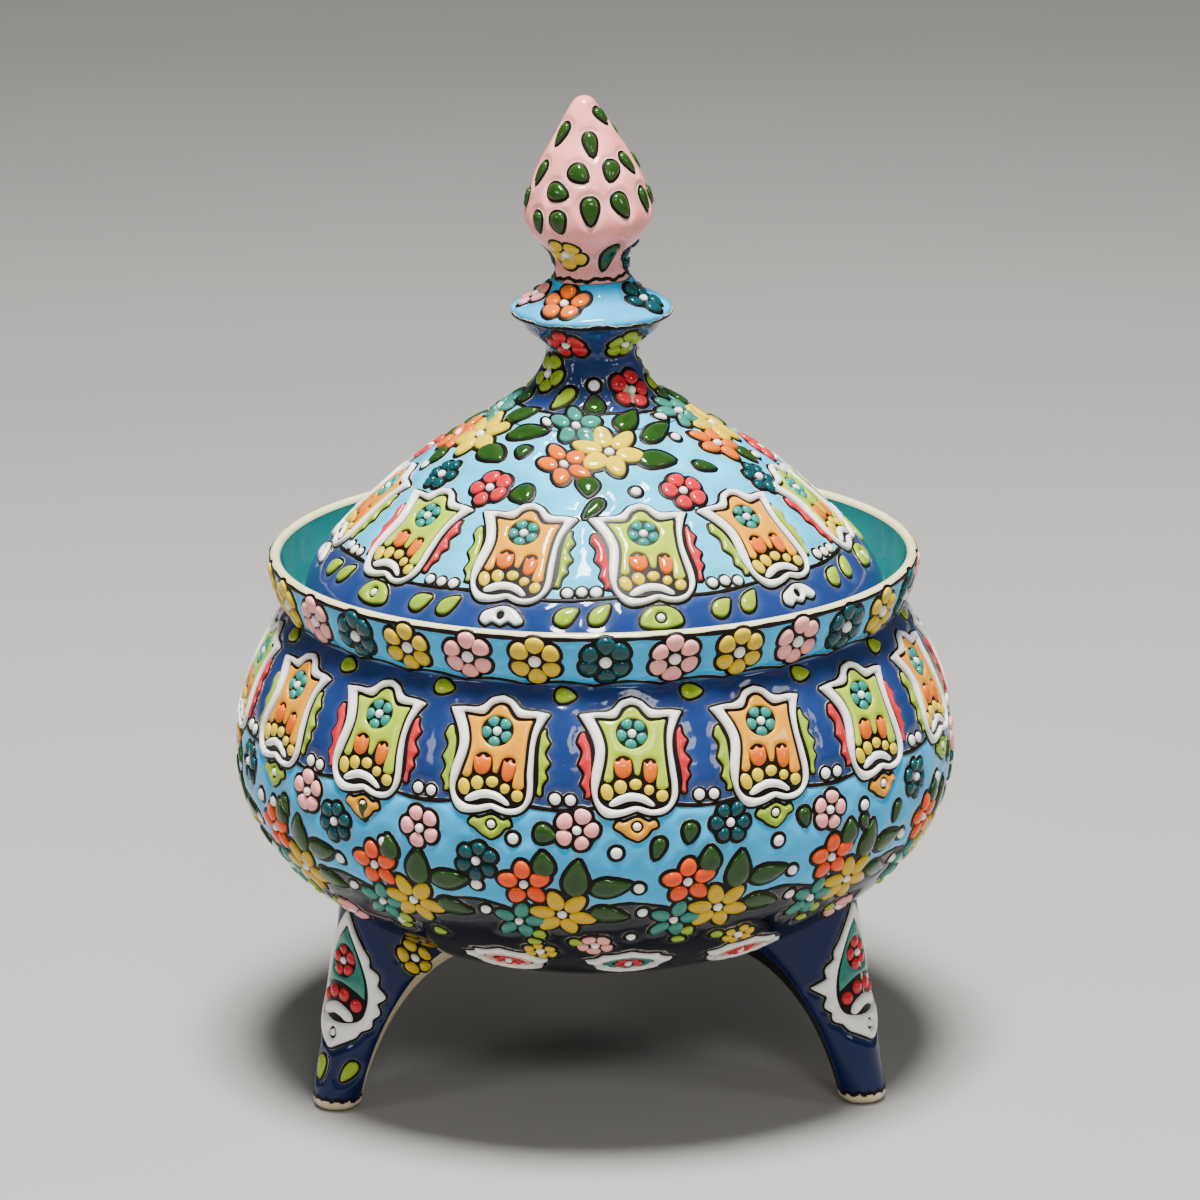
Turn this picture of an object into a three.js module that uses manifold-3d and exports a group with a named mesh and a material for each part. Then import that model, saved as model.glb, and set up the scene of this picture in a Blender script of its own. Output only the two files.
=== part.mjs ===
// An enamelled candy dish: a round pottery bowl on three legs, a domed lid that lifts off its
// gallery, and a knob with a bud on top. Raised enamel palmettes follow the curves of the
// shoulder and the dome, and a paisley drop follows the round outer face of each leg.
// Low mounds stand for the raised flowers below, between and above them.
// Millimetres, +Z up. The origin is on the floor under the bowl's axis, the front towards -Y.
import * as THREE from "three";
import { mergeVertices } from "three/addons/utils/BufferGeometryUtils.js";
import Module from "manifold-3d";

// Gap between pieces that touch
const seatGap = 0.3;

// Bowl, thrown in one piece with its collar
const footClearance = 30.4;
const bellyRadius = 93;
const bellyDrop = 56;
const bellyRise = 70.4;
const neckRise = 37.6;
const baseRadius = 28;
const bowlWall = 4.4;
const floorThickness = 5;
const collarHeight = 13.4;
const collarFlare = 5.3;
const lipThickness = 2.8;
const collarBulgeShares = [0.75, 0.35];

// Gallery, the ledge inside the neck that carries the lid
const galleryLift = 3.2;
const galleryWall = 6.2;
const galleryWidth = 3.4;

// Lid, a thin dome with a locating flange below its edge
const lidSideClearance = 1.1;
const lidEdgeHeight = 1.9;
const lidRise = 52.2;
const lidWall = 4;
const lidShoulderShare = 0.165;
const lidCrownShare = 0.4;
const flangeClearance = 0.9;
const flangeDepth = 6;
const flangeThickness = 3.4;

// Knob stem, a waisted neck under a disc
const stemFootRadius = 24.5;
const stemFootEdge = 0.9;
const stemWaistRadius = 11.6;
const stemHeight = 28.2;
const discRadius = 20.5;
const stemSeatShares = [0, 0.35, 0.7, 1];
const waistShares = [[0.42, 0.16], [0.16, 0.33], [0, 0.5], [0.05, 0.62], [0.36, 0.745]];
const discShares = [[0.9, 0.85], [1, 0.89], [1, 0.94], [0.85, 1.01], [0.62, 1.1], [0.49, 1.215]];

// Knob bud, turned by itself and set a little askew
const budRadius = 16.2;
const budHeight = 46.9;
const budLeanDegrees = 2;
const budRootDepth = 2.5;
const budShares = [
  [0.61, 0], [0.57, 0.07], [0.61, 0.15], [0.8, 0.225], [0.95, 0.29], [1, 0.365],
  [0.95, 0.455], [0.86, 0.555], [0.66, 0.69], [0.43, 0.82], [0.24, 0.93], [0.12, 0.985], [0, 1],
];

// Legs, moulded with a round outer face and a flat inner one
const legSides = ["front_left", "front_right", "back"];
const firstLegTurn = -59;
const footInset = 13.2;
const footDepth = 10.6;
const footWidth = 13;
const footRounding = 2.4;
const legRootWidth = 30;
const legRootDepth = 9;
const legOuterRootShare = 0.806;
const legInnerRootShare = 0.525;
const legOuterBendShares = [[0.35, 0.3], [0.9, 0.67]];
const legInnerBendShares = [[0.08, 0.38], [0.39, 0.86]];
const legBackShare = 0.3;
const legFlatShare = 0.36;
const footRoundShares = [[0, 1], [0.015, 0.3], [0.05, 0]];
const legRingShares = [0.12, 0.24, 0.38, 0.54, 0.72, 0.9, 1];

// Palmettes, framed enamel plaques round the shoulder and the dome
const shoulderPalmettes = 16;
const shoulderPalmetteTurn = 6.3;
const shoulderPalmetteWidth = 25.4;
const shoulderPalmetteHeight = 30.4;
const shoulderPalmetteMargin = 2.8;
const domePalmettes = 10;
const domePalmetteTurn = -2.6;
const domePalmetteShift = 4.85;
const domePalmetteWidth = 26.4;
const domePalmetteHeight = 31;
const domePalmetteMargin = 11.5;
const frameHeight = 1.2;
const fieldHeight = 0.7;
const palmetteColumnShares = [-1, -0.8, -0.42, 0, 0.42, 0.8, 1];
const palmetteRowShares = [0, 0.09, 0.37, 0.64, 0.91, 1];
const palmetteSideShares = [[0, 0.66], [0.14, 0.83], [0.5, 0.77], [0.7, 0.83], [1, 1]];
const palmetteCrownShares = [[0, 1], [0.42, 0.9], [0.8, 0.865], [1, 0.84]];
const palmetteFootShares = [[0, 0.07], [0.42, 0], [0.8, 0.02], [1, 0.06]];

// Paisley drops, framed in the same way, one on each leg
const dropWidth = 25;
const dropHeight = 37;
const dropTopMargin = 0.1;
const dropColumnShares = [-1, -0.79, -0.54, -0.27, 0, 0.27, 0.54, 0.79, 1];
const dropRowShares = [0, 0.05, 0.13, 0.27, 0.44, 0.62, 0.78, 0.91, 1];
const dropSideShares = [
  [0, 0.34], [0.05, 0.52], [0.13, 0.7], [0.27, 0.9], [0.55, 1], [0.78, 0.84], [0.91, 0.52], [1, 0.1],
];
const dropBendShares = [[0, 0.26], [0.13, 0.16], [0.3, 0.04], [0.6, 0], [1, 0.06]];

// Raised flowers, fired onto the bowl and the dome. A flower of a spray is [petals, across, up,
// radius, turn in degrees]. Places on the bowl are measured up from its widest line, and those on
// the dome up from its edge.
const bloomHeight = 0.9;
const bloomRootDepth = 1.1;
const bloomCrownShare = 0.78;
const bloomEdgeShare = 0.7;
const bloomStemClearance = 1.2;
const bloomPressDepth = 6;
const bellySprays = 14;
const bellySprayTurn = -5.4;
const bellySprayPlace = -19.6;
const bellySprayFlowers = [[6, 0, 0, 8.1, 18], [5, -9.2, 9.6, 6.5, 4], [5, -10.9, -3.3, 6.3, 62]];
const collarFlowers = 30;
const collarPetals = 6;
const collarFlowerTurn = 1.9;
const collarFlowerTopMargin = 0.35;
const collarFlowerFootMargin = 2.65;
const domeSprayTurns = [-69.7, 8, 88.3, 155, 222];
const domeSprayPlace = 61.8;
const domeSprayFlowers = [[6, 0, 0, 7.7, 12], [5, -11.4, -3.4, 6.3, 20], [5, -6.6, 8.6, 5.8, 0]];

// Loose flowers, each at [degrees round, distance up the belly or the dome, petals]
const looseRadius = 5.1;
const looseTurnShare = 7;
const bellyLoose = [
  [-2.8, 4.9, 5], [21.1, 4.7, 6], [-27.8, 2.7, 5], [-18.4, -4.4, 6], [39.1, 3.1, 5],
  [61.1, 2.9, 6], [-44.5, -0.8, 6], [-51.1, 4.7, 5], [85.05, 3.3, 5], [107.55, 3.3, 6],
  [130.05, 3.3, 5], [152.55, 3.3, 6], [175.05, 3.3, 5], [197.55, 3.3, 6], [220.05, 3.3, 5],
  [242.55, 3.3, 6], [265.05, 3.3, 5], [287.55, 3.3, 6],
];
const domeLoose = [
  [-37.1, 47, 6], [31.9, 46.3, 6], [-63.2, 46.8, 6], [68.3, 43.5, 6], [101, 46, 6],
  [138.7, 45.5, 6], [177.4, 46, 6], [216.1, 45.5, 6], [253.8, 46, 6],
];

// Counts of facets round the axis, and of steps along the curves
const bowlFacets = 48;
const lidFacets = 48;
const knobFacets = 24;
const outsideSteps = 8;
const shoulderSteps = 5;
const insideSteps = 5;
const roundingSteps = 3;
const domeSamples = 60;
const stemSteps = 17;
const budSteps = 16;
const legArcSteps = 10;

const wasm = await Module();
wasm.setup();

// Places that more than one piece needs
const radians = THREE.MathUtils.degToRad;
const equator = footClearance + bellyDrop;
const neckAngle = Math.asin(neckRise / bellyRise);
const neckRadius = bellyRadius * Math.cos(neckAngle);
const neckHeight = equator + neckRise;
const mouthRadius = neckRadius - galleryWall;
const galleryRadius = mouthRadius + galleryWidth;
const galleryHeight = neckHeight + galleryLift;
const lidRadius = galleryRadius - lidSideClearance;
const lidSeat = galleryHeight + seatGap;
const domeFoot = lidSeat + lidEdgeHeight;
const footRingRadius = bellyRadius - footInset;

const finishes = {
  blueGlaze: new THREE.MeshStandardMaterial({ color: 0x3f9fcc, roughness: 0.18, metalness: 0 }),
  navyGlaze: new THREE.MeshStandardMaterial({ color: 0x1c3f86, roughness: 0.18, metalness: 0 }),
  pinkGlaze: new THREE.MeshStandardMaterial({ color: 0xf0b7b0, roughness: 0.2, metalness: 0 }),
  greenEnamel: new THREE.MeshStandardMaterial({ color: 0xa9c14b, roughness: 0.15, metalness: 0 }),
  amberEnamel: new THREE.MeshStandardMaterial({ color: 0xe8a93f, roughness: 0.15, metalness: 0 }),
  whiteEnamel: new THREE.MeshStandardMaterial({ color: 0xf5f3ee, roughness: 0.15, metalness: 0 }),
};

// Solids and meshes

function solidOf(geometry) {
  const bare = geometry.clone();
  bare.deleteAttribute("normal");
  bare.deleteAttribute("uv");
  const merged = mergeVertices(bare);
  return new wasm.Manifold(new wasm.Mesh({
    numProp: 3,
    vertProperties: new Float32Array(merged.attributes.position.array),
    triVerts: new Uint32Array(merged.index.array),
  }));
}

function geometryOf(solid) {
  const { vertProperties, triVerts } = solid.getMesh();
  const geometry = new THREE.BufferGeometry();
  geometry.setAttribute("position", new THREE.BufferAttribute(vertProperties, 3));
  geometry.setIndex(new THREE.BufferAttribute(triVerts, 1));
  geometry.computeVertexNormals();
  return geometry;
}

function named(name, geometry, finish, turn = 0) {
  const mesh = new THREE.Mesh(geometry, finish);
  mesh.name = name;
  mesh.rotation.z = radians(turn);
  return mesh;
}

// A place in an upright plane through the axis, or in a piece's own section.
function point(radius, height) {
  return new THREE.Vector2(radius, height);
}

// Turns a section of radius and height points round the upright axis.
function revolve(points, facets) {
  return new THREE.LatheGeometry(points, facets).rotateX(Math.PI / 2);
}

// Reads a table of [place, value] shares at any place between its rows.
function shareAt(table, place) {
  const next = Math.max(table.findIndex(([at]) => at >= place), 1);
  const [lowPlace, low] = table[next - 1];
  const [highPlace, high] = table[next];
  return THREE.MathUtils.mapLinear(place, lowPlace, highPlace, low, high);
}

// The bowl

// The belly's lower curve, from the base out to the widest line, at a distance outside it.
function bellyCurve(offset = 0) {
  const start = -Math.acos(baseRadius / bellyRadius);
  return new THREE.EllipseCurve(0, equator, bellyRadius + offset, bellyDrop + offset, start, 0);
}

// The shoulder's curve, from the widest line up and in to the neck.
function shoulderCurve() {
  return new THREE.EllipseCurve(0, equator, bellyRadius, bellyRise, 0, neckAngle);
}

function collarCurve() {
  const [out, up] = collarBulgeShares;
  return new THREE.QuadraticBezierCurve(
    point(neckRadius, neckHeight),
    point(neckRadius + out * collarFlare, neckHeight + up * collarHeight),
    point(neckRadius + collarFlare, neckHeight + collarHeight),
  );
}

// The rounded lip, from the collar's outside over to its inside.
function lipCurve() {
  const radius = lipThickness / 2;
  const centre = neckRadius + collarFlare - radius;
  return new THREE.EllipseCurve(centre, neckHeight + collarHeight, radius, radius, 0, Math.PI);
}

// The inside, from the mouth down round the belly to the middle of the floor.
function insidePoints(base) {
  const radius = bellyRadius - bowlWall;
  const drop = equator - base - floorThickness;
  const start = Math.acos(mouthRadius / radius);
  const shoulder = new THREE.EllipseCurve(0, equator, radius, bellyRise - bowlWall, start, 0, true);
  const floor = new THREE.EllipseCurve(0, equator, radius, drop, 0, -Math.PI / 2, true);
  return [...shoulder.getPoints(insideSteps), ...floor.getPoints(insideSteps).slice(1)];
}

function makeBowl() {
  const belly = bellyCurve().getPoints(outsideSteps);
  const base = belly[0].y;
  const bare = revolve([
    point(0, base),
    ...belly,
    ...shoulderCurve().getPoints(shoulderSteps).slice(1),
    ...collarCurve().getPoints(roundingSteps).slice(1),
    ...lipCurve().getPoints(roundingSteps).slice(1),
    point(galleryRadius, galleryHeight),
    point(mouthRadius, galleryHeight),
    ...insidePoints(base),
  ], bowlFacets);
  return withBlooms(bare, [...bellyBlooms(), ...collarBlooms()]);
}

// The belly's outside grown by the seat gap and closed, to trim a leg that is luted onto it. It is
// turned so that its facets meet the bowl's once the leg is in its place.
function bellyTrimmer() {
  const belly = bellyCurve(seatGap).getPoints(2 * outsideSteps);
  const shape = revolve([point(0, belly[0].y), ...belly, point(0, equator)], bowlFacets);
  return solidOf(shape.rotateZ(-radians(firstLegTurn)));
}

// The lid

// The dome's outer or inner curve, from its edge up to the axis.
function domeCurve(radius, top) {
  const rise = top - domeFoot;
  return new THREE.CubicBezierCurve(
    point(radius, domeFoot),
    point(radius, domeFoot + lidShoulderShare * rise),
    point(lidCrownShare * radius, top),
    point(0, top),
  );
}

const dome = domeCurve(lidRadius, domeFoot + lidRise);

// The height of the dome's outside at a radius.
function domeHeightAt(radius) {
  const steps = dome.getPoints(domeSamples);
  const next = steps.findIndex(({ x }) => x <= radius);
  const [outer, inner] = [steps[next - 1], steps[next]];
  return THREE.MathUtils.mapLinear(radius, outer.x, inner.x, outer.y, inner.y);
}

function makeLid() {
  const flangeRadius = mouthRadius - flangeClearance;
  const hollowRadius = flangeRadius - flangeThickness;
  const hollow = domeCurve(hollowRadius, domeFoot + lidRise - lidWall);
  const bare = revolve([
    ...hollow.getPoints(insideSteps).reverse(),
    point(hollowRadius, lidSeat - flangeDepth),
    point(flangeRadius, lidSeat - flangeDepth),
    point(flangeRadius, lidSeat),
    point(lidRadius, lidSeat),
    ...dome.getPoints(outsideSteps),
  ], lidFacets);
  return withBlooms(bare, domeBlooms());
}

// The knob

// The stem's outside, from its foot's thin edge over the waist and the disc to the bud's seat.
function stemOutline() {
  const foot = domeHeightAt(stemFootRadius) + seatGap + stemFootEdge;
  const flare = stemFootRadius - stemWaistRadius;
  const waist = waistShares.map(([out, up]) =>
    point(stemWaistRadius + out * flare, foot + up * stemHeight));
  const disc = discShares.map(([out, up]) => point(out * discRadius, foot + up * stemHeight));
  return new THREE.SplineCurve([point(stemFootRadius, foot), ...waist, ...disc]);
}

// The stem, with its foot following the dome, and grown by a gap where it trims the bud.
function makeStem(gap = 0) {
  const outline = stemOutline().getPoints(stemSteps);
  const underside = stemSeatShares.map((share) => {
    const radius = share * stemFootRadius;
    return point(radius, domeHeightAt(radius) + seatGap);
  });
  const outside = outline.map(({ x, y }) => point(x + gap, y + gap));
  return revolve([...underside, ...outside, point(0, outside.at(-1).y)], knobFacets);
}

// The bud, leaned over with its root in the disc and then trimmed to the disc's top.
function makeBud() {
  const outline = new THREE.SplineCurve(
    budShares.map(([out, up]) => point(out * budRadius, up * budHeight)),
  ).getPoints(budSteps);
  const shape = revolve([
    point(0, -budRootDepth),
    point(outline[0].x, -budRootDepth),
    ...outline,
  ], knobFacets);
  shape.rotateY(-radians(budLeanDegrees));
  shape.translate(0, 0, stemOutline().getPoint(1).y);
  return geometryOf(solidOf(shape).subtract(solidOf(makeStem(seatGap))));
}

// The legs

// One edge of a leg in the upright plane through the axis, from its foot to the bowl and on into it.
function legRail(footRadius, rootShare, bendShares) {
  const angle = -Math.acos(rootShare);
  const root = point(bellyRadius * rootShare, equator + bellyDrop * Math.sin(angle));
  const outward = point(Math.cos(angle) / bellyRadius, Math.sin(angle) / bellyDrop).normalize();
  const bends = bendShares.map(([across, up]) =>
    point(footRadius + across * (root.x - footRadius), up * root.y));
  const edge = new THREE.CubicBezierCurve(point(footRadius, 0), ...bends, root);
  return { edge, buried: root.clone().addScaledVector(outward, -legRootDepth) };
}

const outerRail = legRail(footRingRadius + footDepth / 2, legOuterRootShare, legOuterBendShares);
const innerRail = legRail(footRingRadius - footDepth / 2, legInnerRootShare, legInnerBendShares);

// A leg's section between two points of its edges, with its direction and its sizes.
function legSection(outer, inner, width) {
  const out = outer.clone().sub(inner);
  const depth = out.length();
  const back = legBackShare * depth;
  return { inner, out: out.normalize(), depth, width, back, arch: depth - back };
}

function legSectionAt(share) {
  const width = THREE.MathUtils.lerp(footWidth, legRootWidth, share);
  return legSection(outerRail.edge.getPoint(share), innerRail.edge.getPoint(share), width);
}

// A place in a section, at a distance out from the flat inner face and a distance across it.
function sectionPoint({ inner, out }, outward, across) {
  return new THREE.Vector3(across, -(inner.x + out.x * outward), inner.y + out.y * outward);
}

// A section's outline: half an ellipse on a base that narrows to the flat inner face.
function sectionRing(section, inset = 0) {
  const { depth, width, back, arch } = section;
  const flat = legFlatShare * width;
  const outline = [[0, -flat]];
  for (let step = 0; step <= legArcSteps; step += 1) {
    const angle = Math.PI * (step / legArcSteps - 1 / 2);
    outline.push([back + arch * Math.cos(angle), (width / 2) * Math.sin(angle)]);
  }
  outline.push([0, flat]);
  const shallower = 1 - (2 * inset) / depth;
  const narrower = 1 - (2 * inset) / width;
  return outline.map(([outward, across]) =>
    sectionPoint(section, inset + outward * shallower, across * narrower));
}

// Joins rings with the same number of points into a closed skin with flat ends.
function skin(rings) {
  const count = rings[0].length;
  const index = [];
  rings.slice(1).forEach((_, row) => {
    for (let at = 0; at < count; at += 1) {
      const a = row * count + at;
      const b = row * count + ((at + 1) % count);
      index.push(a, b, b + count, a, b + count, a + count);
    }
  });
  const last = (rings.length - 1) * count;
  for (let at = 1; at < count - 1; at += 1) {
    index.push(0, at + 1, at, last, last + at, last + at + 1);
  }
  return new THREE.BufferGeometry().setFromPoints(rings.flat()).setIndex(index);
}

function makeLeg() {
  const buriedSection = legSection(outerRail.buried, innerRail.buried, legRootWidth);
  const leg = skin([
    ...footRoundShares.map(([at, inset]) => sectionRing(legSectionAt(at), inset * footRounding)),
    ...legRingShares.map((share) => sectionRing(legSectionAt(share))),
    sectionRing(buriedSection),
  ]);
  return geometryOf(solidOf(leg).subtract(bellyTrimmer()));
}

// Raised enamel

// A closed plaque: a grid of columns and rows, its front and its back placed by one function.
function plaque(columns, rows, place) {
  const wide = columns.length;
  const size = wide * rows.length;
  const layer = (isFront) => rows.flatMap((row) =>
    columns.map((column) => place(column, row, isFront)));
  const index = [];
  const quad = (a, b, c, d) => index.push(a, b, c, a, c, d);
  for (let row = 0; row < rows.length - 1; row += 1) {
    for (let column = 0; column < wide - 1; column += 1) {
      const a = row * wide + column;
      quad(a, a + 1, a + 1 + wide, a + wide);
      quad(a + size, a + wide + size, a + 1 + wide + size, a + 1 + size);
    }
  }
  const rim = [
    ...columns.map((_, at) => at),
    ...rows.slice(1).map((_, at) => (at + 2) * wide - 1),
    ...columns.slice(1).map((_, at) => size - 2 - at),
    ...rows.slice(2).map((_, at) => size - (at + 2) * wide),
  ];
  rim.forEach((a, at) => {
    const b = rim[(at + 1) % rim.length];
    quad(a, a + size, b + size, b);
  });
  const points = [...layer(true), ...layer(false)];
  return new THREE.BufferGeometry().setFromPoints(points).setIndex(index);
}

// How far a plaque's front stands off its surface: its frame is higher than its field.
function frontLift(column, row) {
  const isFrame = Math.abs(column) === 1 || row === 0 || row === 1;
  return isFrame ? frameHeight : fieldHeight;
}

// Places points on a surface of revolution by their distance round it and along its curve.
function onCurve(curve) {
  const length = curve.getLength();
  return (across, along, lift) => {
    const at = curve.getPointAt(along / length);
    const tangent = curve.getTangentAt(along / length);
    const angle = across / at.x;
    const radius = at.x + lift * tangent.y;
    const height = at.y - lift * tangent.x;
    return new THREE.Vector3(radius * Math.sin(angle), -radius * Math.cos(angle), height);
  };
}

// Turns a flat place by degrees and moves it.
function turned([across, up], degrees, [right, high]) {
  const [c, s] = [Math.cos(radians(degrees)), Math.sin(radians(degrees))];
  return [right + across * c - up * s, high + across * s + up * c];
}

// A flower's outline: a corner for the tip of each petal.
function flowerOutline([petals, across, up, radius, turn]) {
  return Array.from({ length: petals }, (_, at) =>
    turned([0, radius], turn + (360 / petals) * at, [across, up]));
}

// A low mound on an outline: its root below the surface, a shoulder, and a crown in the middle.
function mound(outline, surface, turn, along) {
  const count = outline.length;
  const middle = [0, 1].map((axis) => outline.reduce((sum, spot) => sum + spot[axis], 0) / count);
  const ring = (share, lift) => outline.map((spot) => {
    const [across, up] = spot.map((value, axis) =>
      middle[axis] + share * (value - middle[axis]));
    return surface(across, along + up, lift);
  });
  const centre = (lift) => surface(middle[0], along + middle[1], lift);
  const points = [
    ...ring(1, -bloomRootDepth),
    ...ring(bloomCrownShare, bloomHeight * bloomEdgeShare),
    centre(-bloomRootDepth),
    centre(bloomHeight),
  ];
  const index = [];
  for (let at = 0; at < count; at += 1) {
    const next = (at + 1) % count;
    index.push(at, next, at + count, next, next + count, at + count);
    index.push(at + count, next + count, 2 * count + 1, next, at, 2 * count);
  }
  const shape = new THREE.BufferGeometry().setFromPoints(points).setIndex(index);
  return solidOf(shape.rotateZ(radians(turn)));
}

// The sprays and the loose flowers round the belly, placed up from its widest line.
function bellyBlooms() {
  const belly = bellyCurve();
  const outside = new THREE.CurvePath();
  outside.curves.push(belly, shoulderCurve());
  const place = onCurve(outside);
  const surface = (across, up, lift) => place(across, belly.getLength() + up, lift);
  const sprays = Array.from({ length: bellySprays }, (_, at) =>
    spray(surface, bellySprayFlowers, bellySprayPlace, bellySprayTurn + (360 / bellySprays) * at));
  return [...sprays.flat(), ...looseBlooms(surface, bellyLoose)];
}

// The ring of flowers that fills the collar between its margins.
function collarBlooms() {
  const collar = collarCurve();
  const surface = onCurve(collar);
  const radius = (collar.getLength() - collarFlowerTopMargin - collarFlowerFootMargin) / 2;
  const outline = flowerOutline([collarPetals, 0, 0, radius, 0]);
  return Array.from({ length: collarFlowers }, (_, at) =>
    mound(outline, surface, collarFlowerTurn + (360 / collarFlowers) * at,
      collarFlowerFootMargin + radius));
}

// Round the dome, mounds are pressed together below the stem's foot, so that they stay clear of it.
function domeBlooms() {
  const steps = dome.getSpacedPoints(domeSamples);
  const last = steps.findIndex(({ x }) => x < stemFootRadius + bloomStemClearance) - 1;
  const reach = (dome.getLength() * last) / domeSamples;
  const place = onCurve(dome);
  const eased = (along) => {
    const over = along - (reach - bloomPressDepth);
    return over > 0 ? reach - bloomPressDepth * Math.exp(-over / bloomPressDepth) : along;
  };
  const surface = (across, along, lift) => place(across, eased(along), lift);
  const sprays = domeSprayTurns.map((turn) =>
    spray(surface, domeSprayFlowers, domeSprayPlace, turn));
  return [...sprays.flat(), ...looseBlooms(surface, domeLoose)];
}

function spray(surface, flowers, along, turn) {
  return flowers.map((flower) => mound(flowerOutline(flower), surface, turn, along));
}

function looseBlooms(surface, places) {
  return places.map(([turn, along, petals]) =>
    mound(flowerOutline([petals, 0, 0, looseRadius, looseTurnShare * turn]), surface, turn, along));
}

function withBlooms(bare, blooms) {
  return geometryOf(wasm.Manifold.union([solidOf(bare), ...blooms]));
}

// Waisted sides, horned corners and a pointed crown, bent onto a surface from a distance up it.
function makePalmette(surface, start, width, height) {
  return plaque(palmetteColumnShares, palmetteRowShares, (column, row, isFront) => {
    const side = Math.abs(column);
    const foot = shareAt(palmetteFootShares, side);
    const crown = shareAt(palmetteCrownShares, side);
    const across = (column * shareAt(palmetteSideShares, row) * width) / 2;
    const along = start + height * THREE.MathUtils.lerp(foot, crown, row);
    return surface(across, along, seatGap + (isFront ? frontLift(column, row) : 0));
  });
}

function makeShoulderPalmette() {
  const shoulder = shoulderCurve();
  const start = shoulder.getLength() - shoulderPalmetteMargin - shoulderPalmetteHeight;
  return makePalmette(onCurve(shoulder), start, shoulderPalmetteWidth, shoulderPalmetteHeight);
}

function makeDomePalmette() {
  return makePalmette(onCurve(dome), domePalmetteMargin, domePalmetteWidth, domePalmetteHeight);
}

// Places points on a leg's round outer face by their distance round it and up it.
function onLeg(across, along, lift) {
  const section = legSectionAt(outerRail.edge.getUtoTmapping(0, along));
  const half = section.width / 2;
  const angle = (2 * across) / (section.arch + half);
  const normal = point(Math.cos(angle) / section.arch, Math.sin(angle) / half).normalize();
  const outward = section.back + section.arch * Math.cos(angle) + lift * normal.x;
  return sectionPoint(section, outward, half * Math.sin(angle) + lift * normal.y);
}

function makeDrop() {
  const start = outerRail.edge.getLength() - dropTopMargin - dropHeight;
  return plaque(dropColumnShares, dropRowShares, (column, row, isFront) => {
    const reach = column * shareAt(dropSideShares, row) + shareAt(dropBendShares, row);
    const along = start + row * dropHeight;
    return onLeg((reach * dropWidth) / 2, along, seatGap + (isFront ? frontLift(column, row) : 0));
  });
}

// The assembly

function numbered(name, index) {
  return `${name}_${String(index + 1).padStart(2, "0")}`;
}

// Palmettes round the axis, green and amber in turn, set at the angle that a function gives.
function palmetteRing(name, geometry, count, turnOf) {
  return Array.from({ length: count }, (_, index) => {
    const finish = index % 2 ? finishes.amberEnamel : finishes.greenEnamel;
    return named(numbered(name, index), geometry, finish, turnOf((360 / count) * index));
  });
}

function bowlAssembly() {
  const group = new THREE.Group();
  const leg = makeLeg();
  const drop = makeDrop();
  group.add(named("bowl_body", makeBowl(), finishes.blueGlaze));
  legSides.forEach((side, index) => {
    const turn = firstLegTurn + (360 / legSides.length) * index;
    group.add(named(`leg_${side}`, leg, finishes.navyGlaze, turn));
    group.add(named(`leg_drop_${side}`, drop, finishes.whiteEnamel, turn));
  });
  group.add(...palmetteRing("bowl_palmette", makeShoulderPalmette(), shoulderPalmettes,
    (turn) => shoulderPalmetteTurn + turn));
  return group;
}

// The dome's palmettes are set out by eye, a little closer together at the front.
function lidAssembly() {
  const group = new THREE.Group();
  const half = 180 / domePalmettes;
  group.add(named("lid_dome", makeLid(), finishes.blueGlaze));
  group.add(named("knob_stem", makeStem(), finishes.navyGlaze));
  group.add(named("knob_bud", makeBud(), finishes.pinkGlaze));
  group.add(...palmetteRing("lid_palmette", makeDomePalmette(), domePalmettes, (turn) =>
    domePalmetteTurn + half + turn - domePalmetteShift * Math.sin(radians(half + turn))));
  return group;
}

const dish = new THREE.Group();
dish.add(bowlAssembly(), lidAssembly());

export default dish;
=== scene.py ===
"""An enamelled candy dish: a footed bowl with a lift-off domed lid, trailed all over with raised enamel.

Lengths in the classes are millimetres and become metres in the meshes. Azimuth 0 is the front, towards -Y,
and grows towards +X. A place on a turned surface is its azimuth in degrees and its distance along the
profile.
"""
import logging
import math
from collections.abc import Callable, Iterable, Sequence
from dataclasses import dataclass, field, replace
from enum import Enum
from functools import partial

import bpy
import numpy as np
from bpy.types import Material, Mesh, Node, NodeSocket, NodeTree, Object
from mathutils import Matrix, Vector
from mathutils.geometry import delaunay_2d_cdt
from mathutils.kdtree import KDTree


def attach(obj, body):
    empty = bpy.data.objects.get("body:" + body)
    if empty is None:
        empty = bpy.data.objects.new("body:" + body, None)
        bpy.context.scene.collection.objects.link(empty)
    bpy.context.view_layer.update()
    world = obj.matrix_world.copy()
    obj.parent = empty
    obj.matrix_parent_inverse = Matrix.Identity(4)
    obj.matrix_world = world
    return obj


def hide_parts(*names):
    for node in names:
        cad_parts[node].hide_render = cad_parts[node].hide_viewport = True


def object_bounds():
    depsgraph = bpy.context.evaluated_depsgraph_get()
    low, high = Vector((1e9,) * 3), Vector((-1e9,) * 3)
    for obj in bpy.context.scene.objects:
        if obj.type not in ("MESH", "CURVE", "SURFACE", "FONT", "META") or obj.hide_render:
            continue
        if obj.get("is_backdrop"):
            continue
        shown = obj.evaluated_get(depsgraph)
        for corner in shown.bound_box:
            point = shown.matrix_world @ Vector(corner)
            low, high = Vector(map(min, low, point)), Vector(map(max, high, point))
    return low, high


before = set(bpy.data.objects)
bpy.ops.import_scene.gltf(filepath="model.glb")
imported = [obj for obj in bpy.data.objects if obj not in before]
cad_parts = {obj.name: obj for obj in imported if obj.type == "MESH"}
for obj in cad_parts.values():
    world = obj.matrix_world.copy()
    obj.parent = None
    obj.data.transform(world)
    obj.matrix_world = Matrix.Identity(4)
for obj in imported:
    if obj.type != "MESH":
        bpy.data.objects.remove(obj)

log = logging.getLogger("candy_dish")
Array = np.ndarray
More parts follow.
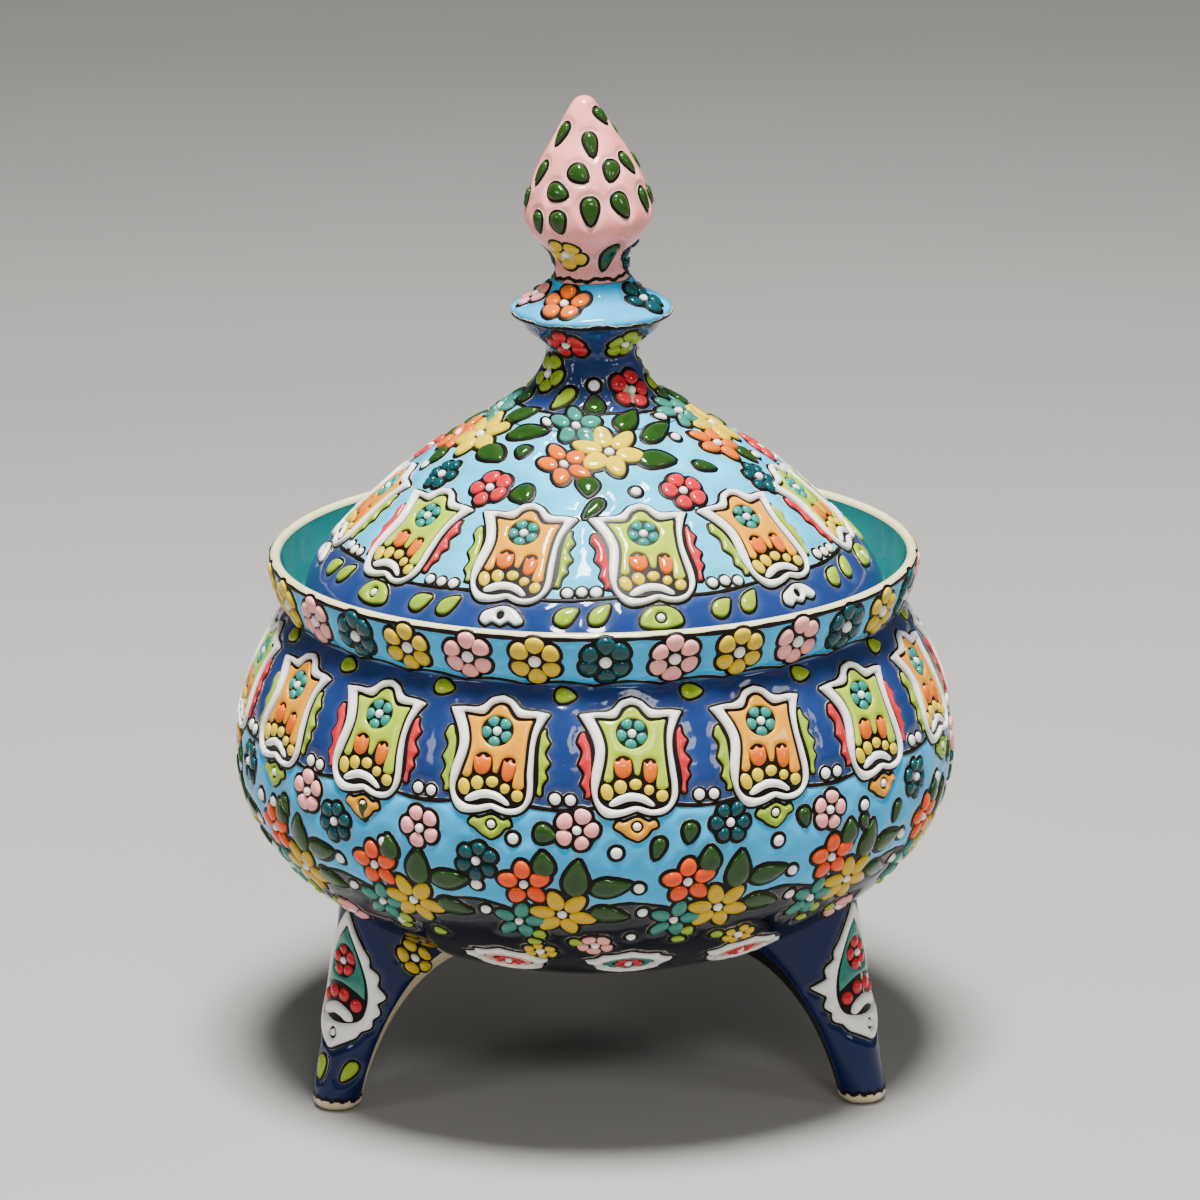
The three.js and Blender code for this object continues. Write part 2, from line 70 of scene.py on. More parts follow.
Loop = np.ndarray
Spot = tuple[float, float]
Places = Sequence[Spot]
Carry = Callable[[np.ndarray], np.ndarray]

MM = 0.001
SEED = 7
HAND_STRIDE = 17.0

# Heights and widths of the trailed work, in millimetres
LINE_WIDTH = 0.5
LINE_RISE = 0.12
BOLD_LINE = 0.78
HALO_WIDTH = 0.24
SUNK = -0.22
GROUND_RISE = 0.34
GROUND_CLEAR = 0.35
GROUND_ROUND = 1.7
WELL = -0.14
PETAL_RISE = 1.05
LEAF_RISE = 0.95

# Spacing of the points that shapes are drawn with, in millimetres
STEP = 0.75
POOL_GRID = 1.15
PLATE_GRID = 1.5
SHOULDER_RINGS = (0.16, 0.55)


class Pigment(Enum):
    """The colours that the dish is painted with, as thin and deep sRGB values of each."""

    WHITE = ("#efece4", "#fdfcf8")
    LIME = ("#b6cb30", "#98b616")
    AMBER = ("#ea9e0c", "#de9006")
    ORANGE = ("#f4540a", "#e24004")
    TANGERINE = ("#e26a08", "#d25a02")
    RED = ("#d8323c", "#b5101c")
    PINK = ("#fbaea8", "#f49490")
    GOLD = ("#e0be20", "#cca60e")
    YELLOW = ("#d8b010", "#c49a02")
    LEMON = ("#e2c410", "#d2b202")
    PETROL = ("#0f4a4e", "#08363b")
    TEAL = ("#30988a", "#14736a")
    TURQUOISE = ("#3f8f7f", "#226e60")
    LEAF = ("#2b4c1c", "#18360c")
    OLIVE = ("#a2bb2c", "#7f9c14")
    RESIST = ("#150e0a", "#070504")


(WHITE, LIME, AMBER, ORANGE, TANGERINE, RED, PINK, GOLD, YELLOW, LEMON, PETROL, TEAL, TURQUOISE, LEAF, OLIVE,
 RESIST) = Pigment


class Ground(Enum):
    """The glazes flooded round the painted work."""

    NAVY = "#20356a"
    # The lower belly's navy glaze, painted near black as painted shade for the underside.
    DEEP_NAVY = "#040818"
    SKY = "#04b0ea"
    PALE_SKY = "#34c2ea"
    LEG_NAVY = "#0a1946"
    ROSE = "#f79690"

    def colour(self, count: int = 1) -> Array:
        """Gives the glaze's linear colour in a row for each of a number of places."""
        return np.tile(linear(self.value)[:3], (count, 1))


def linear(code: str) -> tuple[float, float, float, float]:
    """Turns an sRGB hex value into the linear colour that Blender mixes with.

    Args:
        code: A value such as "#1a3c86".

    Returns:
        Red, green, blue and alpha.
    """
    parts = [int(code[at:at + 2], 16) / 255 for at in (1, 3, 5)]
    red, green, blue = (c / 12.92 if c <= 0.04045 else ((c + 0.055) / 1.055) ** 2.4 for c in parts)
    return red, green, blue, 1.0


def add_node(tree: NodeTree, kind: str, inputs: dict | None = None, **settings: object) -> Node:
    """Adds a node, sets its properties and sets or links its inputs.

    Args:
        tree: The tree that gets the node.
        kind: The node's type.
        inputs: By the input's name or number, a value, an output socket, or a node for its first output.
        **settings: Properties of the node.

    Returns:
        The new node.
    """
    node = tree.nodes.new(kind)
    for name, value in settings.items():
        setattr(node, name, value)
    for key, value in (inputs or {}).items():
        if isinstance(value, Node):
            value = value.outputs[0]
        if isinstance(value, NodeSocket):
            tree.links.new(value, node.inputs[key])
        else:
            node.inputs[key].default_value = value
    return node


def blank_material(name: str) -> tuple[Material, Callable[..., Node], NodeSocket]:
    """Makes a material with an empty tree, and gives what adds nodes to it and its Object coordinates."""
    material = bpy.data.materials.new(name)
    material.use_nodes = True
    material.node_tree.nodes.clear()
    add = partial(add_node, material.node_tree)
    return material, add, add("ShaderNodeTexCoord").outputs["Object"]


# Finishes


@dataclass(frozen=True)
class TrailedEnamel:
    """Lead enamel trailed on in drops and fired: thick glass, paler where it thins, with a hard wet shine."""

    pigment: Pigment
    cloud: float = 2.6
    ripple: float = 1.9
    ripple_depth: float = 0.05
    gloss: float = 0.09

    def material(self) -> Material:
        """Builds the material; its "depth" attribute is 0 at a drop's edge and 1 on its crown."""
        thin, deep = self.pigment.value
        material, add, place = blank_material(f"trailed_enamel_{self.pigment.name.lower()}")
        depth = add("ShaderNodeAttribute", attribute_name="depth").outputs["Fac"]
        # Colour settles in clouds a few millimetres across as the drop melts.
        cloud = add("ShaderNodeTexNoise", {"Vector": place, "Scale": 1 / (self.cloud * MM)})
        settled = add("ShaderNodeMath", {0: cloud, 1: 0.7, 2: -0.28}, operation="MULTIPLY_ADD")
        share = add("ShaderNodeMath", {0: depth, 1: 0.9, 2: settled}, operation="MULTIPLY_ADD",
                    use_clamp=True)
        tint = add("ShaderNodeMix", {0: share, 6: linear(thin), 7: linear(deep)}, data_type="RGBA")
        waves = add("ShaderNodeTexNoise", {"Vector": place, "Scale": 1 / (self.ripple * MM), "Detail": 1})
        ripple = add("ShaderNodeBump", {"Height": waves, "Distance": self.ripple_depth * MM})
        shader = add("ShaderNodeBsdfPrincipled", {
            "Base Color": tint.outputs[2], "Roughness": self.gloss, "IOR": 1.5, "Specular IOR Level": 0.3,
            "Coat Weight": 0.1, "Coat Roughness": 0.03, "Normal": ripple})
        add("ShaderNodeOutputMaterial", {"Surface": shader})
        return material


@dataclass(frozen=True)
class ResistLine:
    """Dry manganese line that keeps the enamels apart: brown-black and dull, with pale slip at its edge."""

    halo: str = "#d9cfa4"
    grain: float = 0.5

    def material(self) -> Material:
        """Builds the material; its "depth" attribute falls to 0 at the edge where the slip shows."""
        thin, deep = RESIST.value
        material, add, place = blank_material("manganese_resist_line")
        depth = add("ShaderNodeAttribute", attribute_name="depth").outputs["Fac"]
        grain = add("ShaderNodeTexNoise", {"Vector": place, "Scale": 1 / (self.grain * MM), "Detail": 3})
        dark = add("ShaderNodeMix", {0: grain, 6: linear(deep), 7: linear(thin)}, data_type="RGBA")
        patch = add("ShaderNodeTexNoise", {"Vector": place, "Scale": 1 / (3 * MM)})
        bare = add("ShaderNodeMath", {0: patch, 1: depth}, operation="SUBTRACT")
        edge = add("ShaderNodeMapRange", {"Value": bare, "From Min": 0.2, "From Max": 0.42})
        tint = add("ShaderNodeMix", {0: edge, 6: dark.outputs[2], 7: linear(self.halo)}, data_type="RGBA")
        rough = add("ShaderNodeBump", {"Height": grain, "Distance": 0.03 * MM})
        shader = add("ShaderNodeBsdfPrincipled", {
            "Base Color": tint.outputs[2], "Roughness": 0.42, "IOR": 1.5, "Specular IOR Level": 0.15,
            "Normal": rough})
        add("ShaderNodeOutputMaterial", {"Surface": shader})
        return material


@dataclass(frozen=True)
class FloodedGlaze:
    """Glossy glaze flooded over white slip: pools between the lines, cloudy, faintly rippled and pinholed."""

    name: str
    cloud: float = 9.0
    ripple: float = 5.0
    ripple_depth: float = 0.09
    gloss: float = 0.1
    slip_and_sheen: float = 0.025
    shine: float = 0.28

    def material(self) -> Material:
        """Builds the material; "tint" is the glaze's colour and "depth" its thickness away from a line."""
        material, add, place = blank_material(self.name)
        tint = add("ShaderNodeAttribute", attribute_name="tint").outputs["Color"]
        depth = add("ShaderNodeAttribute", attribute_name="depth").outputs["Fac"]
        cloud = add("ShaderNodeTexNoise", {"Vector": place, "Scale": 1 / (self.cloud * MM), "Detail": 4})
        # Against a line the glaze is paler: partly the white slip showing through thin glaze, partly a
        # painted highlight along the lines.
        slip_and_sheen_tint = add("ShaderNodeMix", {0: self.slip_and_sheen, 6: tint, 7: linear("#dfe9ea")}, data_type="RGBA")
        body = add("ShaderNodeMix", {0: depth, 6: slip_and_sheen_tint.outputs[2], 7: tint}, data_type="RGBA")
        shade = add("ShaderNodeMapRange", {"Value": cloud, "From Min": 0.3, "From Max": 0.7, "To Min": 0.82,
                                           "To Max": 1.14})
        clouded = add("ShaderNodeHueSaturation", {"Color": body.outputs[2], "Value": shade})
        waves = add("ShaderNodeTexNoise", {"Vector": place, "Scale": 1 / (self.ripple * MM), "Detail": 1.5})
        ripple = add("ShaderNodeBump", {"Height": waves, "Distance": self.ripple_depth * MM})
        # Pinholes about half a millimetre across, where gas left the glaze.
        holes = add("ShaderNodeTexVoronoi", {"Vector": place, "Scale": 1 / (6 * MM)})
        pit = add("ShaderNodeMapRange", {"Value": holes, "From Min": 0.03, "From Max": 0.07})
        pitted = add("ShaderNodeBump", {"Height": pit, "Distance": 0.06 * MM, "Normal": ripple})
        shader = add("ShaderNodeBsdfPrincipled", {
            "Base Color": clouded, "Roughness": self.gloss, "IOR": 1.5, "Specular IOR Level": self.shine,
            "Coat Weight": 0.1, "Coat Roughness": 0.03, "Normal": pitted})
        add("ShaderNodeOutputMaterial", {"Surface": shader})
        return material


@dataclass(frozen=True)
class PlainGlaze:
    """A single glaze over the thrown wall, even but for a slow change of thickness and throwing rings."""

    name: str
    thin: str
    deep: str
    gloss: float = 0.12
    cloud: float = 14.0
    ring: float = 3.0
    ring_depth: float = 0.05

    def material(self) -> Material:
        """Builds the material; the rings run round the upright axis."""
        material, add, place = blank_material(self.name)
        cloud = add("ShaderNodeTexNoise", {"Vector": place, "Scale": 1 / (self.cloud * MM), "Detail": 5})
        tint = add("ShaderNodeMix", {0: cloud, 6: linear(self.thin), 7: linear(self.deep)}, data_type="RGBA")
        level = add("ShaderNodeMapping", {"Vector": place, "Scale": (0.02, 0.02, 1)})
        rings = add("ShaderNodeTexNoise", {"Vector": level, "Scale": 1 / (self.ring * MM)})
        relief = add("ShaderNodeBump", {"Height": rings, "Distance": self.ring_depth * MM})
        shader = add("ShaderNodeBsdfPrincipled", {
            "Base Color": tint.outputs[2], "Roughness": self.gloss, "IOR": 1.52, "Coat Weight": 0.3,
            "Coat Roughness": 0.05, "Normal": relief})
        add("ShaderNodeOutputMaterial", {"Surface": shader})
        return material


@dataclass(frozen=True)
class Biscuit:
    """Wiped, unglazed earthenware: chalky buff with a fine grit and a few rusty specks."""

    name: str = "wiped_earthenware"
    pale: str = "#efe2c2"
    dark: str = "#cdb88d"
    gloss: float = 0.5
    grit: float = 0.35

    def material(self) -> Material:
        """Builds the material."""
        material, add, place = blank_material(self.name)
        cloud = add("ShaderNodeTexNoise", {"Vector": place, "Scale": 1 / (4 * MM), "Detail": 6})
        tint = add("ShaderNodeMix", {0: cloud, 6: linear(self.pale), 7: linear(self.dark)}, data_type="RGBA")
        specks = add("ShaderNodeTexVoronoi", {"Vector": place, "Scale": 1 / (1.6 * MM)})
        speck = add("ShaderNodeMapRange", {"Value": specks, "From Min": 0.1, "From Max": 0.16, "To Min": 0.55,
                                           "To Max": 0})
        speckled = add("ShaderNodeMix", {0: speck, 6: tint.outputs[2], 7: linear("#8a6a3d")},
                       data_type="RGBA")
        grit = add("ShaderNodeTexNoise", {"Vector": place, "Scale": 1 / (self.grit * MM)})
        relief = add("ShaderNodeBump", {"Height": grit, "Distance": 0.05 * MM, "Strength": 0.8})
        shader = add("ShaderNodeBsdfPrincipled", {
            "Base Color": speckled.outputs[2], "Roughness": self.gloss, "IOR": 1.5, "Normal": relief})
        add("ShaderNodeOutputMaterial", {"Surface": shader})
        return material


LINING = PlainGlaze("turquoise_lining_glaze", "#207674", "#0c5856")


# Drawing in the flat


def arc_resample(points: Array, spacing: float, closed: bool) -> Array:
    """Spaces points evenly along a line.

    Args:
        points: The line's points, close together.
        spacing: The wanted distance between points, in millimetres.
        closed: Whether the line runs back to its start.

    Returns:
        The evenly spaced points, without a repeat of the first one.
    """
    line = np.vstack([points, points[:1]]) if closed else np.asarray(points, float)
    along = np.concatenate([[0.0], np.cumsum(np.linalg.norm(np.diff(line, axis=0), axis=1))])
    count = max(int(round(along[-1] / spacing)), 8 if closed else 2)
    places = np.linspace(0, along[-1], count + 1)
    if closed:
        places = places[:-1]
    return np.stack([np.interp(places, along, column) for column in line.T], axis=1)


def flowing(points: Sequence[Sequence[float]], closed: bool = True, spacing: float = STEP) -> Loop:
    """Draws a smooth line through points, with a corner at each point that has a third number.

    Args:
        points: Places as (u, v), or (u, v, 1) for a sharp corner.
        closed: Whether the line runs back to its start.
        spacing: The distance between the points of the result.

    Returns:
        The line as evenly spaced points, anticlockwise where it is closed.
    """
    spots = np.array([p[:2] for p in points], float)
    sharp = [len(p) > 2 for p in points]
    count = len(spots)

    def heading(at: int, side: int) -> Array:
        """Gives the line's direction where it leaves a point (side 1) or comes to it (side -1)."""
        ahead = spots[(at + 1) % count] if closed or at + 1 < count else spots[at]
        behind = spots[at - 1] if closed or at > 0 else spots[at]
        if sharp[at]:
            return (ahead - spots[at] if side > 0 else spots[at] - behind) * 0.8
        return (ahead - behind) / 2

    pieces = []
    share = np.linspace(0, 1, 9)[:-1, None]
    for at in range(count if closed else count - 1):
        start, stop = spots[at], spots[(at + 1) % count]
        leave, arrive = heading(at, 1), heading((at + 1) % count, -1)
        pieces.append((2 * share**3 - 3 * share**2 + 1) * start + (share**3 - 2 * share**2 + share) * leave
                      + (3 * share**2 - 2 * share**3) * stop + (share**3 - share**2) * arrive)
    if not closed:
        pieces.append(spots[-1:])
    line = arc_resample(np.vstack(pieces), spacing, closed)
    return line[::-1] if closed and area(line) < 0 else line


def area(loop: Loop) -> float:
    """Gives a loop's signed area, positive when it runs anticlockwise."""
    u, v = loop.T
    return float(np.sum(u * np.roll(v, -1) - v * np.roll(u, -1)) / 2)


def inside(places: Array, loop: Loop) -> Array:
    """Tells which places lie inside a loop."""
    u, v = places[:, :1], places[:, 1:]
    a, b = loop, np.roll(loop, -1, axis=0)
    rising = (a[:, 1] > v) != (b[:, 1] > v)
    height = np.where(b[:, 1] == a[:, 1], 1.0, b[:, 1] - a[:, 1])
    crossing = u < (b[:, 0] - a[:, 0]) * (v - a[:, 1]) / height + a[:, 0]
    return np.sum(rising & crossing, axis=1) % 2 == 1


def edge_distance(places: Array, loop: Loop) -> Array:
    """Gives each place's distance to a loop's line."""
    a = loop[None]
    run = np.roll(loop, -1, axis=0)[None] - a
    gap = places[:, None] - a
    share = np.clip(np.sum(gap * run, axis=2) / np.maximum(np.sum(run * run, axis=2), 1e-12), 0, 1)
    return np.min(np.linalg.norm(gap - share[..., None] * run, axis=2), axis=1)


def widened(loop: Loop, by: float) -> Loop:
    """Moves a loop's points outwards along its normals, or inwards for a negative distance."""
    run = np.roll(loop, -1, axis=0) - np.roll(loop, 1, axis=0)
    run /= np.maximum(np.linalg.norm(run, axis=1, keepdims=True), 1e-9)
    turn = 1.0 if area(loop) > 0 else -1.0
    return loop + by * turn * np.stack([run[:, 1], -run[:, 0]], axis=1)


def grid_within(low: Array, high: Array, spacing: float) -> Array:
    """Fills a rectangle with places in staggered rows."""
    rows = np.arange(low[1], high[1], spacing * 0.866)
    return np.array([(u, v) for at, v in enumerate(rows)
                     for u in np.arange(low[0] + (at % 2) * spacing / 2, high[0], spacing)]).reshape(-1, 2)


@dataclass(frozen=True)
class Cell:
    """One pool of enamel, drawn flat: u to the right and v up, in millimetres."""

    pigment: Pigment
    outline: Loop
    rise: float = 1.0
    shoulder: float = 1.15
    holes: tuple[Loop, ...] = ()

    def moved(self, at: Spot = (0, 0), turn: float = 0, size: float = 1) -> "Cell":
        """Gives the cell scaled, turned by degrees and shifted."""
        c, s = math.cos(math.radians(turn)) * size, math.sin(math.radians(turn)) * size
        outline, *holes = (loop @ np.array([[c, s], [-s, c]]) + at for loop in (self.outline, *self.holes))
        return replace(self, outline=outline, holes=tuple(holes))


Motif = list[Cell]


def moved(motif: Motif, at: Spot = (0, 0), turn: float = 0, size: float = 1) -> Motif:
    """Gives a motif scaled, turned by degrees and shifted."""
    return [cell.moved(at, turn, size) for cell in motif]


@dataclass
class Skin:
    """A closed mesh in millimetres before it goes to Blender, with its depth of glass and faces' finish."""

    points: Array
    faces: list[tuple[int, ...]]
    depth: Array
    tint: Array | None = None
    finish: list[int] | None = None

    @staticmethod
    def joined(skins: Sequence["Skin"]) -> "Skin":
        """Puts several skins into one."""
        faces, start = [], 0
        for skin in skins:
            faces += [tuple(corner + start for corner in face) for face in skin.faces]
            start += len(skin.points)
        return Skin(np.vstack([s.points for s in skins]), faces, np.concatenate([s.depth for s in skins]))

    def on(self, carry: Carry) -> "Skin":
        """Gives the skin carried from the flat onto a surface."""
        return replace(self, points=carry(self.points))


def triangles_in(places: Array, edges: list[tuple[int, int]], keep: Callable[[Array], Array]
                 ) -> tuple[Array, Array]:
    """Triangulates places so that the given edges are kept, and drops the triangles outside a shape.

    Args:
        places: The points, as (u, v).
        edges: Pairs of points that stay joined.
        keep: Tells which of an array of triangle centres are inside.

    Returns:
        The used points, and the triangles as rows of three, anticlockwise.
    """
    spots, _, tris, *_ = delaunay_2d_cdt([Vector(p) for p in places.tolist()], edges, [], 0, 1e-4, False)
    spots = np.array([tuple(p) for p in spots])
    tris = np.array([tuple(t) for t in tris])
    corners = spots[tris]
    run, rise = corners[:, 1] - corners[:, 0], corners[:, 2] - corners[:, 0]
    turn = run[:, 0] * rise[:, 1] - run[:, 1] * rise[:, 0]
    tris[turn < 0] = tris[turn < 0][:, ::-1]
    tris = tris[(np.abs(turn) > 1e-6) & keep(corners.mean(axis=1))]
    used, back = np.unique(tris, return_inverse=True)
    return spots[used], back.reshape(-1, 3)


def loops_of(tris: Array) -> list[list[int]]:
    """Walks round the open edges of triangles and gives each closed run of points."""
    edges = {(int(a), int(b)) for tri in tris for a, b in zip(tri, np.roll(tri, -1))}
    onward: dict[int, list[int]] = {}
    for a, b in edges:
        if (b, a) not in edges:
            onward.setdefault(a, []).append(b)
    loops = []
    for first in sorted(onward):
        while onward[first]:
            loop, here = [], first
            while onward.get(here):
                loop.append(here)
                here = onward[here].pop()
            loops.append(loop)
    return loops


def slab(places: Array, heights: Array, depth: Array, tris: Array, sunk: float) -> Skin:
    """Closes a triangulated top with a skirt and a bottom that is sunk under the surface.

    Args:
        places: The top's points, as (u, v).
        heights: The height of each point above the surface.
        depth: The depth of glass at each point, from 0 to 1.
        tris: The top's triangles.
        sunk: The bottom's height.

    Returns:
        The closed skin.
    """
    loops = loops_of(tris)
    count = len(places)
    faces = [tuple(int(c) for c in tri) for tri in tris]
    if len(loops) == 1 and len(set(loops[0])) == len(loops[0]):
        rim = loops[0]
        below = {here: count + at for at, here in enumerate(rim)}
        low = places[rim]
        faces.append(tuple(below[here] for here in reversed(rim)))
        low_depth = np.zeros(len(rim))
    else:
        below = {here: count + here for here in range(count)}
        low = places
        faces += [tuple(int(c) + count for c in tri[::-1]) for tri in tris]
        low_depth = np.zeros(count)
    for loop in loops:
        for here, after in zip(loop, loop[1:] + loop[:1]):
            faces.append((here, below[here], below[after], after))
    top = np.column_stack([places, heights])
    bottom = np.column_stack([low, np.full(len(low), sunk)])
    return Skin(np.vstack([top, bottom]), faces, np.concatenate([depth, low_depth]))


def pool(cell: Cell) -> Skin:
    """Makes one rounded pool of enamel, highest in the middle and steep at its edge."""
    rims = [cell.outline, *cell.holes]
    bulk = abs(area(cell.outline)) - sum(abs(area(hole)) for hole in cell.holes)
    around = sum(np.sum(np.linalg.norm(np.roll(rim, -1, axis=0) - rim, axis=1)) for rim in rims)
    half = max(2.0 * bulk / around, 0.3)
    shoulder = min(cell.shoulder, half)

    def clearance(places: Array) -> Array:
        """Gives each place's distance to the nearest rim."""
        return np.min([edge_distance(places, rim) for rim in rims], axis=0)

    def within(centres: Array) -> Array:
        """Tells which places lie in the cell and in none of its holes."""
        kept = inside(centres, cell.outline)
        for hole in cell.holes:
            kept &= ~inside(centres, hole)
        return kept

    places, edges = [], []
    for number, rim in enumerate(rims):
        side = -1.0 if number == 0 else 1.0
        start = sum(len(p) for p in places)
        places.append(rim)
        edges += [(start + at, start + (at + 1) % len(rim)) for at in range(len(rim))]
        for share in SHOULDER_RINGS:
            ring = widened(rim, side * share * shoulder)
            places.append(ring[clearance(ring) > 0.8 * share * shoulder])
    fill = grid_within(cell.outline.min(axis=0), cell.outline.max(axis=0), POOL_GRID)
    if len(fill):
        places.append(fill[within(fill) & (clearance(fill) > 0.95 * shoulder)])

    spots, tris = triangles_in(np.vstack(places), edges, within)
    clear = clearance(spots)
    crown = np.sqrt(1 - (1 - np.clip(clear / shoulder, 0, 1)) ** 2)
    crest = np.clip(clear / half, 0, 1)
    edge, dome = LINE_RISE * 0.5, 0.86 * crown + 0.14 * np.sin(crest * math.pi / 2)
    depth = np.clip(0.25 * crown + 0.75 * crest, 0, 1)
    return slab(spots, edge + (cell.rise - edge) * dome, depth, tris, SUNK)


def resist_plate(motif: Motif, line: float) -> Skin:
    """Makes the dry line round and between a motif's cells, with the pale slip at its outer edge."""
    solid = [cell.outline for cell in motif]
    reach = line + HALO_WIDTH

    def gap(places: Array) -> Array:
        """Gives each place's distance to the nearest cell, negative inside one."""
        far = np.full(len(places), 99.0)
        for loop in solid:
            near = np.all((places > loop.min(axis=0) - 2.5) & (places < loop.max(axis=0) + 2.5), axis=1)
            if near.any():
                out = edge_distance(places[near], loop)
                far[near] = np.minimum(far[near], np.where(inside(places[near], loop), -out, out))
        return far

    places, edges, start = [], [], 0
    for level in (0.0, line, reach):
        for loop in solid:
            ring = widened(loop, level)
            kept = np.flatnonzero(gap(ring) > level - 0.06)
            order = {int(old): start + new for new, old in enumerate(kept)}
            edges += [(order[at],
                       order[(at + 1) % len(ring)]) for at in order if (at + 1) % len(ring) in order]
            places.append(ring[kept])
            start += len(kept)
    low = np.min([loop.min(axis=0) for loop in solid], axis=0)
    high = np.max([loop.max(axis=0) for loop in solid], axis=0)
    fill = grid_within(low, high, PLATE_GRID)
    if len(fill):
        places.append(fill[gap(fill) < 0.1])

    def within(centres: Array) -> Array:
        """Tells which places the plate covers."""
        return gap(centres) < reach

    spots, tris = triangles_in(np.vstack(places), edges, within)
    out = np.clip((gap(spots) - line) / HALO_WIDTH, 0, 1)
    return slab(spots, LINE_RISE + (-0.1 - LINE_RISE) * out, 1 - out, tris, SUNK - 0.1)


def with_lines(motif: Motif, line: float) -> list[tuple[Pigment, Skin]]:
    """Makes a motif's pools and the dry line of a width round them, still flat."""
    return [(cell.pigment, pool(cell)) for cell in motif] + [(RESIST, resist_plate(motif, line))]


# The shapes a trailer draws by hand


def petal(length: float, width: float, taper: float = 0.2, lean: float = 0.0) -> Loop:
    """Draws a rounded petal that lies along v from 0 to its length.

    Args:
        length: Its length.
        width: Its greatest width.
        taper: How much wider the outer half is than the inner.
        lean: How far its tip is carried to the side.

    Returns:
        The loop, anticlockwise.
    """
    turn = np.linspace(0, 2 * math.pi, 49)[:-1]
    v = 0.5 - 0.5 * np.cos(turn)
    u = width / 2 * np.sin(turn) * (1 - taper * np.cos(turn)) + lean * v * v
    return arc_resample(np.column_stack([u, v * length]), min(STEP, width / 4.5), True)


def blade(length: float, width: float, lean: float = 0.0) -> Loop:
    """Draws a leaf along v with a sharp tip that may be carried to the side."""
    v = np.linspace(0, 1, 26)
    half = width / 2 * np.sin(math.pi * v ** 0.7) ** 0.85
    bend = lean * np.sin(math.pi * v / 2) ** 2
    right = np.column_stack([half + bend, v * length])
    left = np.column_stack([-half + bend, v * length])[::-1]
    return arc_resample(np.vstack([right, left[1:-1]]), min(STEP, width / 4.5), True)


def dot(pigment: Pigment, at: Spot, width: float, height: float | None = None, rise: float = 0.9) -> Cell:
    """Draws a drop let fall from the trailer."""
    loop = petal(height or width, width, 0.0) - (0, (height or width) / 2)
    return Cell(pigment, loop, rise).moved(at)


def seed(at: Spot, length: float, width: float, turn: float, pigment: Pigment = LEAF) -> Cell:
    """Draws a drop with one narrow end, centred on a place."""
    return Cell(pigment, petal(length, width, 0.42) - (0, length / 2), LEAF_RISE).moved(at, turn)


class Brush:
    """Draws motifs with the small unevenness of a hand, in one fixed order."""

    def __init__(self, seed: int) -> None:
        """Starts the hand's unevenness from a fixed seed."""
        self.chance = np.random.default_rng(seed)

    def about(self, value: float, spread: float) -> float:
        """Gives a value that is off by about the spread."""
        return float(value + self.chance.normal() * spread)

    def flower(self, pigment: Pigment, petals: int, inner: float, length: float, width: float,
               eye: float = 2.5, taper: float = 0.15, turn: float | None = None) -> Motif:
        """Draws a flower round a white drop.

        Args:
            pigment: The petals' colour.
            petals: How many there are.
            inner: The distance from the middle to a petal's root.
            length: A petal's length.
            width: A petal's width.
            eye: The middle drop's width.
            taper: How much wider the outer half of a petal is.
            turn: The first petal's direction in degrees, or None for any.

        Returns:
            The flower's cells.
        """
        start = float(self.chance.uniform(0, 360)) if turn is None else turn
        cells = [dot(WHITE, (self.about(0, 0.1), self.about(0, 0.1)), eye, rise=PETAL_RISE + 0.1)]
        for number in range(petals):
            angle = start + 360 * number / petals + self.about(0, 2.5)
            grown = 1 + self.about(0, 0.05)
            loop = petal(length * grown, width * (1 + self.about(0, 0.05)), taper, self.about(0, 0.12))
            shape = Cell(pigment, loop + (0, inner), PETAL_RISE * (1 + self.about(0, 0.05)))
            cells.append(shape.moved(turn=angle))
        return cells

    def rosette(self, pigment: Pigment, width: float = 13.0, petals: int = 6, eye: float = 3.2) -> Motif:
        """Draws a flower of round petals that fills a circle of a width."""
        inner = eye / 2 + 0.55
        length = width / 2 - inner
        crowd = 2 * math.pi * (inner + 0.62 * length) / petals
        return self.flower(pigment, petals, inner, length, crowd - 0.6, eye, 0.22, 0)

    def star(self, pigment: Pigment, petals: int, length: float, width: float, eye: float = 2.5,
             turn: float | None = None) -> Motif:
        """Draws a flower of longer petals."""
        return self.flower(pigment, petals, eye / 2 + 0.45, length, width, eye, -0.14, turn)

    def leaf(self, at: Spot, length: float, width: float, turn: float, pigment: Pigment = LEAF) -> Cell:
        """Draws a leaf from its root at a place, pointing up when the turn is 0."""
        return Cell(pigment, blade(length, width, self.about(0, 0.5)), LEAF_RISE).moved(at, turn)


# Surfaces that the work is laid on


def curve_through(spots: Places, steps: int) -> Array:
    """Runs a smooth open line through spots, evenly in its parameter."""
    p = np.array(spots, float)
    padded = np.vstack([p[:1], p, p[-1:]])
    places = np.linspace(0, len(p) - 1, steps + 1)
    at = np.minimum(places.astype(int), len(p) - 2)
    w = (places - at)[:, None]
    before, start, stop, after = (padded[at + k] for k in range(4))
    leave, arrive = (stop - before) / 2, (after - start) / 2
    cubic, square = 2 * start - 2 * stop + leave + arrive, 3 * stop - 3 * start - 2 * leave - arrive
    return cubic * w**3 + square * w**2 + leave * w + start


def bezier(spots: Places, steps: int) -> Array:
    """Gives points along a Bezier curve of any degree."""
    share = np.linspace(0, 1, steps + 1)[:, None]
    degree = len(spots) - 1
    return sum(math.comb(degree, k) * (1 - share) ** (degree - k) * share**k * np.array(spot, float)
               for k, spot in enumerate(spots))


def oval(centre: Spot, reach: Spot, start: float, stop: float, steps: int) -> Array:
    """Gives points along an ellipse's arc, with its angles in radians."""
    turn = np.linspace(start, stop, steps + 1)
    return np.column_stack([centre[0] + reach[0] * np.cos(turn), centre[1] + reach[1] * np.sin(turn)])


